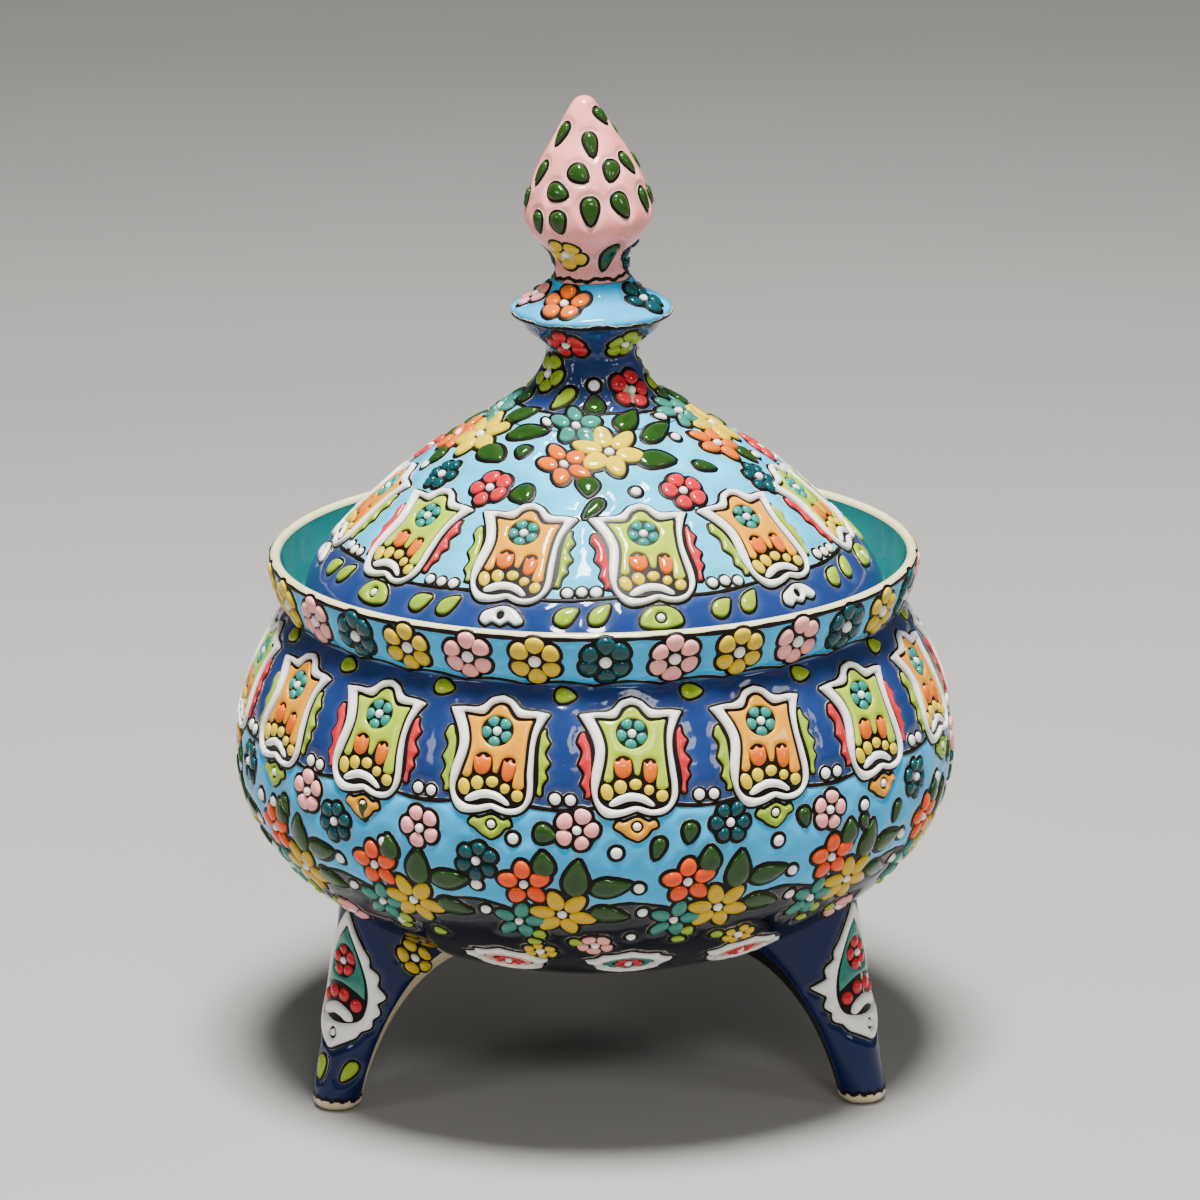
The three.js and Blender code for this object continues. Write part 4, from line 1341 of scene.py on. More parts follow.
@dataclass
class Bowl(Part):
    """The thrown bowl with its collar and lip, and everything trailed on it."""

    equator: float = 86.4
    belly_radius: float = 93.0
    belly_drop: float = 56.0
    belly_rise: float = 70.4
    base_radius: float = 28.0
    neck: Spot = (78.62, 124.0)
    collar_flare: float = 5.3
    collar_height: float = 13.4
    collar_shares: Places = ((0, 0), (0.75, 0.35), (1, 1))
    lip_radius: float = 1.4
    gallery: tuple[float, float, float] = (75.82, 72.42, 127.2)
    inside_radius: float = 88.6
    wall: float = 4.4
    floor_height: float = 38.0
    columns: int = 500
    row_step: float = 0.95
    palmettes: int = 16
    first_palmette: float = 6.3
    palmette_foot: float = 125.9
    sprays: int = 14
    first_spray: float = -5.4
    spray_height: float = 99.1
    first_medallion: float = 6.8
    rosettes: int = 30
    first_rosette: float = 1.9
    rosette_height: float = 168.2
    shoulder_line: float = 130.6
    belly_line: float = 100.4
    collar_line: float = 160.9
    lip_line: float = 174.4
    leg_turns: tuple[float, ...] = (-59, 61, 181)
    fitting: Fitting = Fitting("bowl", "bowl_glaze")
    surface: Turned = field(init=False)

    def __post_init__(self) -> None:
        """Works out the outside profile, with the first of the lip so that work can reach over its edge."""
        start = -math.acos(self.base_radius / self.belly_radius)
        neck_turn = math.asin((self.neck[1] - self.equator) / self.belly_rise)
        foot = self.equator + self.belly_drop * math.sin(start)
        belly = oval((0, self.equator), (self.belly_radius, self.belly_drop), start, 0, 60)
        shoulder = oval((0, self.equator), (self.belly_radius, self.belly_rise), 0, neck_turn, 40)
        collar = bezier([(self.neck[0] + out * self.collar_flare, self.neck[1] + up * self.collar_height)
                         for out, up in self.collar_shares], 14)
        self.lip_centre = (self.neck[0] + self.collar_flare - self.lip_radius,
                           self.neck[1] + self.collar_height)
        lip = oval(self.lip_centre, (self.lip_radius, self.lip_radius), 0, math.pi / 3, 4)
        self.surface = Turned(np.vstack([[(0, foot), (14, foot)], belly, shoulder[1:], collar[1:], lip[1:]]))

    def spots(self, count: int, first: float) -> list[float]:
        """Gives evenly spaced azimuths."""
        return [first + 360 * k / count for k in range(count)]

    def clear_of_legs(self, azimuth: float, reach: float) -> bool:
        """Tells whether a low place is clear of the legs."""
        return all(abs((azimuth - leg + 180) % 360 - 180) > reach for leg in self.leg_turns)

    def trail_palmettes(self) -> Array:
        """Trails the shoulder's palmettes, green and amber in turn, with the drops and dots between them."""
        patterns, surface = self.patterns, self.surface
        work = self.trailing("shoulder_palmettes", self.fitting, LINE_WIDTH)
        carry = surface.carry(0, self.palmette_foot)
        turns = self.spots(self.palmettes, self.first_palmette)
        work.lay_round([patterns.palmette(LIME, RED) + patterns.under_drop(AMBER)], carry, turns[0::2])
        work.lay_round([patterns.palmette(AMBER, OLIVE) + patterns.under_drop(OLIVE)], carry, turns[1::2])
        pair = [dot(WHITE, (-1.9, 0.6), 2.9), dot(WHITE, (1.9, 0.4), 2.7)]
        work.lay_round([pair, [seed((0, 26.6), 5.4, 3.8, 84, OLIVE)]], surface.carry(0, self.shoulder_line),
                       [turn + 180 / self.palmettes for turn in turns])
        names = [f"bowl_palmette_{k + 1:02d}" for k in range(self.palmettes)]
        return work.pieces({LIME: names[0::2], AMBER: names[1::2]})

    def trail_belly(self) -> Array:
        """Trails the sprays round the belly, the loose flowers above them and the small work below."""
        brush, patterns, surface = self.patterns.brush, self.patterns, self.surface
        work = self.trailing("belly_flowers", self.fitting)
        turns = self.spots(self.sprays, self.first_spray)
        carry = surface.carry(0, self.spray_height)
        work.lay_round([patterns.belly_spray(), [dot(WHITE, (19.4, 8.4), 2.9)],
                        [dot(WHITE, (-19.4, 0.2), 2.8)], [seed((2.6, -12.6), 3.6, 2.8, 70, OLIVE)]],
                       carry, turns)
        work.lay_round([moved(patterns.small(PINK, 5, 9.6), (7.2, -14.2))], carry, turns[0::2])
        work.lay_round([moved(patterns.small(GOLD, 6, 9.0), (9.0, -14.6))], carry, turns[1:12:2])
        work.lay(patterns.small(GOLD, 6, 8.8), surface.carry(-10.6, 80.6))
        # Loose flowers sit in the gaps between the palmettes' feet: (azimuth, distance, colour).
        gaps = self.spots(self.palmettes, self.first_palmette + 180 / self.palmettes)[3:13]
        flowers = [(-2.8, 123.6, PINK), (21.1, 123.4, PETROL), (-27.8, 121.4, PINK),
                   (-18.4, 114.3, PETROL), (39.1, 121.8, PINK), (61.1, 121.6, PETROL),
                   (-44.5, 117.9, PETROL), (-51.1, 123.4, PINK),
                   *zip(gaps, [122.0] * len(gaps), (PINK, PETROL) * 5),
                   *[(turn + 13, brush.about(114.6, 0.5), PETROL) for turn in turns[3:11:3]]]
        for azimuth, s, colour in flowers:
            petals = 5 if colour is PINK else 6
            work.lay(patterns.small(colour, petals, brush.about(10.6, 0.3), 7 * azimuth),
                     surface.carry(azimuth, s))
        for place in ((-12.6, 120.9), (3.2, 117.6), (29.3, 116.8), (46.6, 120.4), (-34.6, 115.6),
                      (70.4, 117.4), (-61.5, 116.2), *[(gap + 6, brush.about(117.5, 1)) for gap in gaps]):
            work.lay_dots(surface, [place], brush.about(2.9, 0.12))
        work.lay_seeds(surface, [
            (-7.6, 122.4, 5.4, 4.4, 78), (9.6, 118.3, 5.6, 2.9, -18), (14.6, 121.9, 5.0, 3.4, -12),
            (34.1, 121.6, 4.8, 3.2, 12), (46.8, 115.8, 4.6, 2.6, 20), (55.2, 115.2, 5.2, 2.8, -20),
            (-38.4, 122.8, 4.8, 2.8, 10), (-57.6, 117.0, 5.0, 2.8, 20),
            *[(gap - 7, brush.about(120, 1.4), 5.2, 3.0, brush.about(0, 25)) for gap in gaps]])
        work.lay_dots(surface, ((6.1, 89.0), (-36.8, 88.6)), 2.5)
        for number, azimuth in enumerate(self.spots(self.sprays, self.first_medallion)):
            if self.clear_of_legs(azimuth, 20.5):
                colour = (TURQUOISE, PINK)[number % 2]
                work.lay(moved(patterns.medallion(colour, RED), size=0.9), surface.carry(azimuth, 70.4))
        for azimuth in self.spots(self.sprays // 2, self.first_medallion):
            work.lay(patterns.small(GOLD, 6, 9.4), surface.carry(azimuth, 33))
        work.lay_line(ribbon(surface, self.shoulder_wave, 0.8))
        work.lay_line(ribbon(surface, self.belly_wave, 0.8))
        return work.pieces()

    def trail_collar(self) -> Array:
        """Trails the collar's flowers and the dry lines under the lip and along the neck."""
        work = self.trailing("collar_flowers", self.fitting)
        colours = {"p": PETROL, "r": PINK, "g": GOLD}
        runs = "prgrpg" * 4 + "grpgrg"
        turns = self.spots(self.rosettes, self.first_rosette)
        carry = self.surface.carry(0, self.rosette_height)
        for letter, colour in colours.items():
            chosen = [turn for turn, run in zip(turns, runs) if run == letter]
            for half in (chosen[0::2], chosen[1::2]):
                work.lay_round([self.patterns.brush.rosette(colour, 13.2)], carry, half, 0.8)
        work.lay_line(ribbon(self.surface, self.collar_wave, 0.7))
        work.lay_line(ribbon(self.surface, self.lip_edge, 0.9))
        return work.pieces()

    def shoulder_wave(self, azimuth: Array) -> Array:
        """Gives the line where the shoulder's navy ends, a scallop to each palmette."""
        turn = np.radians((azimuth - self.first_palmette) * self.palmettes)
        return self.shoulder_line - 1.2 + 0.9 * np.cos(turn)

    def belly_wave(self, azimuth: Array) -> Array:
        """Gives the line between the sky blue and the lower belly's navy, which is painted near black as
        painted shade; a wave to each spray.
        """
        return self.belly_line - 2.2 * np.cos(np.radians((azimuth - self.first_spray) * self.sprays + 30))

    def collar_wave(self, azimuth: Array) -> Array:
        """Gives the scalloped line in the neck."""
        return self.collar_line + 1.5 * np.abs(np.sin(np.radians(azimuth * self.rosettes / 2))) - 0.9

    def lip_edge(self, azimuth: Array) -> Array:
        """Gives the line under the lip."""
        return np.full(len(azimuth), self.lip_line)

    def tint(self, azimuth: Array, s: Array) -> Array:
        """Gives the colours of the ground glazes up the outside."""
        # The navy below the belly line is painted near black as painted shade.
        return banded(Ground.DEEP_NAVY, s, ((self.belly_wave(azimuth), Ground.SKY),
                                            (self.shoulder_wave(azimuth), Ground.NAVY),
                                            (self.collar_line, Ground.SKY)))

    def build(self) -> None:
        """Makes the bowl and its trailed work."""
        lines = np.vstack([self.trail_palmettes(), self.trail_belly(), self.trail_collar()])
        side = np.linspace(53, self.lip_line, int((self.lip_line - 53) / self.row_step))
        lip = oval(self.lip_centre, (self.lip_radius, self.lip_radius), 0.16, math.pi, 9)
        outer, mouth, height = self.gallery
        start = math.acos(mouth / self.inside_radius)
        hollow = oval((0, self.equator), (self.inside_radius, self.belly_rise - self.wall), start, 0, 12)
        floor = oval((0, self.equator), (self.inside_radius, self.equator - self.floor_height), 0,
                     -math.pi / 2, 18)
        seat = [(lip[-1][0], lip[-1][1] - 0.6), (outer + 0.5, height + 0.5), (outer, height),
                (mouth + 0.5, height), (mouth, height - 0.5)]
        inside_rows = np.vstack([seat, hollow, floor[1:]])
        inside_rows[-1, 0] = 0.0
        bands = [Band.flooded(self.surface, np.concatenate([[0.0], np.linspace(0.9, 52, 22), side])),
                 Band(lip, 1), Band(inside_rows, 2)]
        finishes = [self.palette.of(glaze) for glaze in (
            FloodedGlaze("flooded_bowl_glaze"), PlainGlaze("cream_lip_glaze", "#f4ecb8", "#e6dc9c"), LINING)]
        make_piece("bowl_body_glaze", coat(self.surface, bands, self.columns, lines, self.tint), finishes,
                   self.fitting, ["bowl_body"])


@dataclass
class Lid(Part):
    """The domed lid with its locating flange, and the knob's stem, which share one flowing outside."""

    edge_radius: float = 74.72
    foot: float = 129.4
    rise: float = 52.2
    shoulder_share: float = 0.165
    crown_share: float = 0.4
    seat: float = 127.5
    flange_depth: float = 6.0
    flange_radius: float = 71.52
    hollow_radius: float = 68.12
    hollow_top: float = 177.6
    stem_foot: float = 24.5
    stem_waist: float = 11.6
    stem_height: float = 28.2
    disc_radius: float = 20.5
    waist_shares: Places = ((0.42, 0.16), (0.16, 0.33), (0, 0.5), (0.05, 0.62), (0.36, 0.745))
    disc_shares: Places = ((0.9, 0.85), (1, 0.89), (1, 0.94), (0.85, 1.01), (0.62, 1.1), (0.49, 1.215))
    columns: int = 420
    row_step: float = 0.95
    stem_columns: int = 180
    stem_row_step: float = 0.55
    palmettes: int = 10
    palmette_foot: float = 13.2
    band_line: float = 17.2
    band_radius: float = 66.0
    spray_turns: tuple[float, ...] = (-69.7, 8.0, 88.3, 155.0, 222.0)
    spray_height: float = 61.8
    fitting: Fitting = Fitting("lid", "lid_glaze")
    stem_fitting: Fitting = Fitting("lid", "stem_glaze")
    surface: Turned = field(init=False)
    joint: float = field(init=False)

    def __post_init__(self) -> None:
        """Works out the outside: the dome up to the stem's foot, then the stem over its waist and disc."""
        dome = self.dome(self.edge_radius, self.foot + self.rise, 120)
        height = float(np.interp(self.stem_foot, dome[::-1, 0], dome[::-1, 1])) + 1.2
        flare = self.stem_foot - self.stem_waist
        spots = [(self.stem_foot, height)]
        spots += [(self.stem_waist + out * flare, height + up * self.stem_height)
                  for out, up in self.waist_shares]
        spots += [(out * self.disc_radius, height + up * self.stem_height) for out, up in self.disc_shares]
        outside = dome[dome[:, 0] > self.stem_foot + 0.7]
        self.surface = Turned(np.vstack([outside, curve_through(spots, 60)]))
        self.joint = float(self.surface.along[len(outside)])

    def dome(self, radius: float, top: float, steps: int) -> Array:
        """Gives the dome's curve from its edge to the axis."""
        rise = top - self.foot
        return bezier(((radius, self.foot), (radius, self.foot + self.shoulder_share * rise),
                       (self.crown_share * radius, top), (0, top)), steps)

    def trail_palmettes(self) -> Array:
        """Trails the dome's palmettes, with the half rounds, leaves and dots of the band below them."""
        brush, patterns, surface = self.patterns.brush, self.patterns, self.surface
        work = self.trailing("dome_palmettes", self.fitting, LINE_WIDTH)
        carry = surface.carry(0, self.palmette_foot)
        # They are spaced closer together at the front.
        even = [18 + 36 * k for k in range(self.palmettes)]
        turns = [-2.6 + turn - 4.85 * math.sin(math.radians(turn)) for turn in even]
        work.lay_round([patterns.palmette(LIME, RED)], carry, turns[0::2])
        work.lay_round([patterns.palmette(AMBER, OLIVE)], carry, turns[1::2])
        half_round = flowing([
            (-5.4, -4.6), (-4.6, -1.8), (-2.2, 0.1), (0, 0.3), (2.4, 0), (4.8, -1.8), (5.5, -4.6),
            (2.8, -5.6), (0, -5.9), (-2.8, -5.6)])
        eye = petal(3.2, 3.2, 0) + (0.0, -4.4)
        green = [Cell(OLIVE, half_round, 0.85, 0.9, (eye,)), dot(WHITE, (0, -2.8), 2.2)]
        curl = flowing([
            (-5.6, -4.2), (-4.9, -1.9), (-2.2, -0.6), (0.2, 0.1), (2.8, -0.5), (4.6, -2), (5.8, -4), (4, -5),
            (2, -4), (0.2, -5.2), (-2.2, -4.4), (-3.8, -5.4)])
        white = [Cell(WHITE, curl, 1.0, 0.9, (petal(2.4, 2.2, 0) + (-0.3, -3.6),))]
        work.lay_round([green], carry, turns[0::2])
        work.lay_round([white], carry, turns[1::2])
        spaces = [(onward - turn) % 360 for turn, onward in zip(turns, turns[1:] + turns[:1])]
        gaps = [turn + space / 2 for turn, space in zip(turns, spaces)]
        work.lay_round([[brush.leaf((-6.6, -7.6), 7.0, 4.4, -62, OLIVE)],
                        [brush.leaf((2.2, -7.8), 7.2, 4.2, -48, OLIVE)]],
                       surface.carry(0, self.band_line), gaps)
        for space, gap in zip(spaces, gaps):
            width = math.radians(space) * self.band_radius - 27
            count = 2 if width < 9 else 3 if width < 14 else 4
            for k in range(count):
                spot = (k - (count - 1) / 2) * 3.6, brush.about(0.8, 0.25)
                work.lay([dot(WHITE, spot, brush.about(2.8, 0.12))], surface.carry(gap, self.band_line))
        work.lay_line(ribbon(surface, self.band_wave, 0.8))
        names = [f"lid_palmette_{k + 1:02d}" for k in range(self.palmettes)]
        return work.pieces({LIME: names[0::2], AMBER: names[1::2]})

    def band_wave(self, azimuth: Array) -> Array:
        """Gives the line between the dome's two ground glazes."""
        return self.band_line - 1.0 + 0.5 * np.sin(np.radians(azimuth * 10))

    def trail_dome(self) -> Array:
        """Trails the dome's sprays and the loose work between them."""
        patterns, surface = self.patterns, self.surface
        work = self.trailing("dome_flowers", self.fitting)
        work.lay_round([patterns.lid_spray(), [dot(WHITE, (-15.4, 9.4), 2.7)]],
                       surface.carry(0, self.spray_height), self.spray_turns)
        for azimuth, s, colour in ((-37.1, 47, RED), (31.9, 46.3, RED), (-63.2, 46.8, PETROL),
                                   (68.3, 43.5, PETROL), (101, 46, RED), (138.7, 45.5, PETROL),
                                   (177.4, 46, RED), (216.1, 45.5, PETROL), (253.8, 46, RED)):
            petals, width = (5, 11.6) if colour is RED else (6, 10.4)
            work.lay(patterns.small(colour, petals, width, 7 * azimuth), surface.carry(azimuth, s))
        work.lay_seeds(surface, (
            (-24.6, 46.6, 6.0, 5.4, -70), (0, 42.8, 7.4, 2.9, -38), (47.9, 52.5, 6.4, 2.8, 62),
            (-33.9, 60.4, 4.4, 3.6, 10), (118, 54, 5.6, 2.8, 50), (191, 53, 5.6, 2.8, -40),
            (258, 54, 5.6, 2.8, 40), (149, 45.6, 5.2, 3.0, 20), (227, 46, 5.2, 3.0, -20)))
        work.lay_dots(surface, ((14.9, 47.9), (47.6, 64.0), (84, 48), (119, 48), (166, 49), (238, 50),
                                (-80, 46)), 2.7)
        return work.pieces()

    def trail_stem(self) -> Array:
        """Trails the flowers of the stem and the disc, and the wavy line under the disc's edge."""
        surface = self.surface
        work = self.trailing("stem_flowers", self.stem_fitting)
        for azimuth, s, colour, width in (
                (-27.2, 95.8, RED, 10.8), (35.5, 95.8, OLIVE, 10.2), (41.2, 81.4, RED, 11.2),
                (-58.3, 85.4, OLIVE, 10.4), (112, 96.5, RED, 8.8), (178, 97, OLIVE, 8.8),
                (248, 96.5, RED, 8.8), (122, 83, OLIVE, 9), (200, 83, RED, 9),
                (-28.4, 112.9, TANGERINE, 12.2), (-84, 112.8, PINK, 10.0),
                (63.9, 112.6, PETROL, 11.4), (140, 113.4, TANGERINE, 10.4),
                (184, 113.4, PINK, 10.4), (228, 113.4, PETROL, 10.4)):
            work.lay(self.patterns.small(colour, 5, width), surface.carry(azimuth, s))
        work.lay_seeds(surface, ((-27.4, 79.4, 7.6, 3.4, -34), (84, 80, 6.6, 3.6, 30),
                                 (160, 80, 6.6, 3.6, -30), (248, 80, 6.6, 3.6, 30)), OLIVE)
        work.lay_dots(surface, ((1.9, 83.6), (86, 90), (150, 89), (232, 89)), 3.0)
        work.lay_line(ribbon(surface, self.disc_wave, 1.3, 200))
        work.lay_line(ribbon(surface, self.stem_wave, 0.7, 200))
        return work.pieces()

    def disc_wave(self, azimuth: Array) -> Array:
        """Gives the line between the disc's edge and the waist."""
        turn = np.radians(azimuth)
        return 104.0 + 0.35 * np.sin(turn * 5 + 1) + 0.25 * np.sin(turn * 13)

    def stem_wave(self, azimuth: Array) -> Array:
        """Gives the scalloped line where the stem's navy meets the dome's sky blue."""
        turn = np.radians(azimuth)
        return 72.4 + 2.6 * np.abs(np.sin(turn * 2.5 + 0.6)) + 0.5 * np.sin(turn * 9)

    def tint(self, azimuth: Array, s: Array) -> Array:
        """Gives the colours of the ground glazes up the lid and the stem."""
        return banded(Ground.NAVY, s, ((self.band_wave(azimuth), Ground.PALE_SKY),
                                       (self.stem_wave(azimuth), Ground.NAVY),
                                       (self.disc_wave(azimuth), Ground.SKY)))

    def build(self) -> None:
        """Makes the dome, the stem and their trailed work."""
        lines = np.vstack([self.trail_palmettes(), self.trail_dome(), self.trail_stem()])
        surface = self.surface
        finishes = [self.palette.of(glaze) for glaze in (FloodedGlaze("flooded_lid_glaze"), LINING)]
        hollow = self.dome(self.hollow_radius, self.hollow_top, 30)[::-1]
        hollow[0, 0] = 0.0
        bottom, bevel = self.seat - self.flange_depth, 0.6
        flange = [(self.hollow_radius, bottom + bevel), (self.hollow_radius + bevel, bottom),
                  (self.flange_radius - bevel, bottom), (self.flange_radius, bottom + bevel),
                  (self.flange_radius, self.seat), (self.edge_radius - 0.8, self.seat),
                  (self.edge_radius - 0.1, self.seat + 0.5)]
        under = np.vstack([hollow, flange])
        cap = self.dome(self.edge_radius, self.foot + self.rise, 120)
        cap = cap[cap[:, 0] < self.stem_foot - 1.5][::4]
        cap[-1] = (0, cap[-1][1])
        rows = np.linspace(0.1, self.joint - 0.9, int(self.joint / self.row_step))
        bands = [Band(under, 1), Band.flooded(surface, rows), Band(cap, 1)]
        make_piece("lid_dome_glaze", coat(surface, bands, self.columns, lines, self.tint), finishes,
                   self.fitting, ["lid_dome"])
        rows = np.linspace(self.joint - 0.7, surface.length - 0.1,
                           int((surface.length - self.joint) / self.stem_row_step))
        (foot_radius, _), (foot, top), *_ = surface.at(rows[[0, -1]])
        under = np.array([(0, foot - 0.8), (foot_radius - 2, foot - 0.8)])
        bands = [Band(under, 1), Band.flooded(surface, rows), Band(np.array([(0, top + 0.2)]), 1)]
        make_piece("knob_stem_glaze", coat(surface, bands, self.stem_columns, lines, self.tint), finishes,
                   self.stem_fitting, ["knob_stem"])


@dataclass
class Bud(Part):
    """The bud on the lid's knob, which leans a little, with its green drops."""

    radius: float = 16.2
    height: float = 46.9
    lean: float = 2.0
    seat: float = 209.92
    shares: Places = ((0.61, 0), (0.57, 0.07), (0.61, 0.15), (0.8, 0.225), (0.95, 0.29), (1, 0.365),
                      (0.95, 0.455), (0.86, 0.555), (0.66, 0.69), (0.43, 0.82), (0.24, 0.93), (0.12, 0.985),
                      (0, 1))
    columns: int = 220
    fitting: Fitting = Fitting("lid", "bud_glaze")

    def foot_wave(self, azimuth: Array) -> Array:
        """Gives the line round the bud's foot."""
        return 1.2 + 0.3 * np.sin(np.radians(azimuth) * 7) + 0.2 * np.sin(np.radians(azimuth) * 17)

    def tint(self, azimuth: Array, s: Array) -> Array:
        """Gives the bud's one colour for any number of places."""
        return Ground.ROSE.colour(len(s))

    def build(self) -> None:
        """Makes the bud and its trailed work."""
        profile = curve_through([(out * self.radius, up * self.height) for out, up in self.shares], 90)
        surface = Turned(profile, self.lean, self.seat)
        brush, patterns = self.patterns.brush, self.patterns
        work = self.trailing("bud_drops", self.fitting, LINE_WIDTH)
        seen = ((9.0, 40, 6.4, 2.9, 4), (-9.0, 32.3, 5.4, 4.1, 50), (31.0, 32.5, 5.6, 3.8, -28),
                (-31.5, 27.4, 5.8, 4.1, 74), (2.0, 22.6, 7.0, 3.9, 0), (33.4, 23.4, 6.6, 3.9, 22),
                (-56, 42.6, 6.4, 3.0, -8), (-66, 31.6, 6.4, 3.0, -10), (-86, 24, 5.4, 3.0, 0),
                (-53, 19.2, 5.6, 3.0, 0), (-28.6, 19.8, 5.6, 3.9, 14), (64, 47.2, 5.0, 3.0, 20),
                (62.6, 33.6, 6.2, 3.0, 22), (67, 23.4, 6.4, 3.0, 8))
        behind = [(azimuth, s, 5.6, 3.4, brush.about(0, 25))
                  for s, *turns in ((23, 92, 262, 30), (32, 104, 262, 40), (41, 118, 240, 40))
                  for azimuth in np.arange(*turns)]
        work.lay_seeds(surface, [*seen, *behind])
        for azimuth, s, colour, width in ((-33.2, 8.9, GOLD, 10.8), (85, 6.4, PETROL, 9.2),
                                          (150, 7.6, GOLD, 10.8), (225, 7.4, PETROL, 9.2)):
            work.lay(patterns.small(colour, 5, width), surface.carry(azimuth, s))
        work.lay_seeds(surface, [(azimuth, 7.6, 8.4, 3.4, turn)
                                 for azimuth, turn in ((26.4, -18), (116, 15), (188, -15), (268, 20))])
        work.lay_line(ribbon(surface, self.foot_wave, 0.55, 160))
        lines = work.pieces()
        rows = np.linspace(0.2, surface.length - 0.25, 110)
        bands = [Band(np.array([(0, -1.2), (8.4, -1.2)])), Band.flooded(surface, rows),
                 Band(np.array([(0, self.height + 0.12)]))]
        skin = coat(surface, bands, self.columns, lines, self.tint)
        skin.tint[:] = Ground.ROSE.colour()
        # The bud's glaze is paled more against its lines: partly slip showing through, partly painted
        # highlight.
        make_piece("knob_bud_glaze", skin, [self.palette.of(FloodedGlaze("rose_bud_glaze", slip_and_sheen=0.15))],
                   self.fitting, ["knob_bud"])


@dataclass
class Leg(Part):
    """One moulded leg, round in front and flat behind, luted on with its root against the belly."""

    name: str
    turn: float
    spike: bool = False
    boteh_place: float = 0.0
    flowers: Places = ()
    drops: tuple[tuple[float, float, float], ...] = ()
    equator: float = 86.4
    belly: Spot = (93.0, 56.0)
    belly_overlap: float = 1.6
    foot_ring: float = 79.8
    foot_depth: float = 10.6
    foot_width: float = 13.0
    root_width: float = 30.0
    root_depth: float = 9.0
    outer_root: float = 0.806
    inner_root: float = 0.525
    outer_bends: Places = ((0.35, 0.3), (0.9, 0.67))
    inner_bends: Places = ((0.08, 0.38), (0.39, 0.86))
    back_share: float = 0.3
    flat_share: float = 0.36
    rounding: float = 2.4
    drop_height: float = 37.0
    wiped_foot: float = 2.7
    wiped_edge: float = 6.2
    foot_shares: tuple[float, ...] = (0, 0.006, 0.014, 0.024, 0.036, 0.044, 0.05, 0.056)
    sunk_shares: tuple[float, ...] = (1.12, 1.3, 1.6, 2.0)
    fitting: Fitting = Fitting("bowl", "leg_glaze")

    def __post_init__(self) -> None:
        """Works out the two edges of the leg in its upright plane."""
        reach = self.foot_depth / 2
        self.outer, self.outer_sunk = self.rail(self.foot_ring + reach, self.outer_root, self.outer_bends)
        self.inner, self.inner_sunk = self.rail(self.foot_ring - reach, self.inner_root, self.inner_bends)
        steps = np.linalg.norm(np.diff(self.outer, axis=0), axis=1)
        self.along = np.concatenate([[0.0], np.cumsum(steps)])
        self.share = np.linspace(0, 1, len(self.outer))

    def rail(self, foot: float, root_share: float, bends: Places) -> tuple[Array, Array]:
        """Gives an edge as dense (radius, height) points, and the point where it ends inside the bowl."""
        angle = -math.acos(root_share)
        root = np.array([self.belly[0] * root_share, self.equator + self.belly[1] * math.sin(angle)])
        out = np.array([math.cos(angle) / self.belly[0], math.sin(angle) / self.belly[1]])
        spots = [(foot, 0.0), *[(foot + across * (root[0] - foot), up * root[1]) for across, up in bends],
                 root]
        return bezier(spots, 200), root - self.root_depth * out / np.linalg.norm(out)

    def section(self, share: Array) -> tuple[Array, ...]:
        """Gives the inner point, outward direction, depth and width of the sections at shares of the edges.

        Shares over 1 run on into the bowl.
        """
        flat = np.minimum(share, 1.0)
        sunk = np.maximum(share - 1.0, 0.0)[..., None]
        outer, inner = (np.stack([np.interp(flat, self.share, column) for column in rail.T], axis=-1)
                        + sunk * (end - rail[-1])
                        for rail, end in ((self.outer, self.outer_sunk), (self.inner, self.inner_sunk)))
        out = outer - inner
        depth = np.linalg.norm(out, axis=-1)
        width = self.foot_width + (self.root_width - self.foot_width) * flat
        return inner, out / depth[..., None], depth, width

    def stand(self, share: Array, outward: Array, across: Array) -> Array:
        """Gives points in space from a section's share and the distances from its flat face and across it."""
        inner, out, _, _ = self.section(share)
        r = inner[..., 0] + out[..., 0] * outward
        z = inner[..., 1] + out[..., 1] * outward
        c, s = math.cos(math.radians(self.turn)), math.sin(math.radians(self.turn))
        return np.stack([across * c + r * s, across * s - r * c, z], axis=-1)

    def face(self, angle: Array, share: Array, lift: Array) -> Array:
        """Gives points on the round outer face from angles round it."""
        _, _, depth, width = self.section(share)
        back, half = self.back_share * depth, width / 2
        arch = depth - back
        normal = np.stack([np.cos(angle) / arch, np.sin(angle) / half], axis=-1)
        normal /= np.linalg.norm(normal, axis=-1, keepdims=True)
        return self.stand(share, back + arch * np.cos(angle) + lift * normal[..., 0],
                          half * np.sin(angle) + lift * normal[..., 1])

    def carry(self, u: float, v: float) -> Carry:
        """Gives the function that carries a flat drawing to a distance round the face and up it."""
        def carried(flat: Array) -> Array:
            """Gives the drawing's points in space."""
            share = np.interp(np.clip(v + flat[:, 1], 0.2, self.along[-1]), self.along, self.share)
            _, _, depth, width = self.section(share)
            angle = 2 * (u + flat[:, 0]) / ((1 - self.back_share) * depth + width / 2)
            return self.face(angle, share, flat[:, 2])
        return carried

    def trail(self) -> Array:
        """Trails the leg's pointed drop and the leaves below it."""
        work = self.trailing(f"{self.name}_boteh", replace(self.fitting, slot="leg_enamel"), LINE_WIDTH)
        work.lay(self.patterns.boteh(self.spike),
                 self.carry(self.boteh_place, self.along[-1] - self.drop_height + 0.3))
        for u, v, turn in self.drops:
            work.lay([seed((0, 0), 6.6, 3.4, turn, OLIVE)], self.carry(u, v))
        for u, v in self.flowers:
            work.lay(self.patterns.small(GOLD, 5, 9.8), self.carry(u, v))
        return work.pieces({TURQUOISE: [self.name.replace("leg_", "leg_drop_")]})

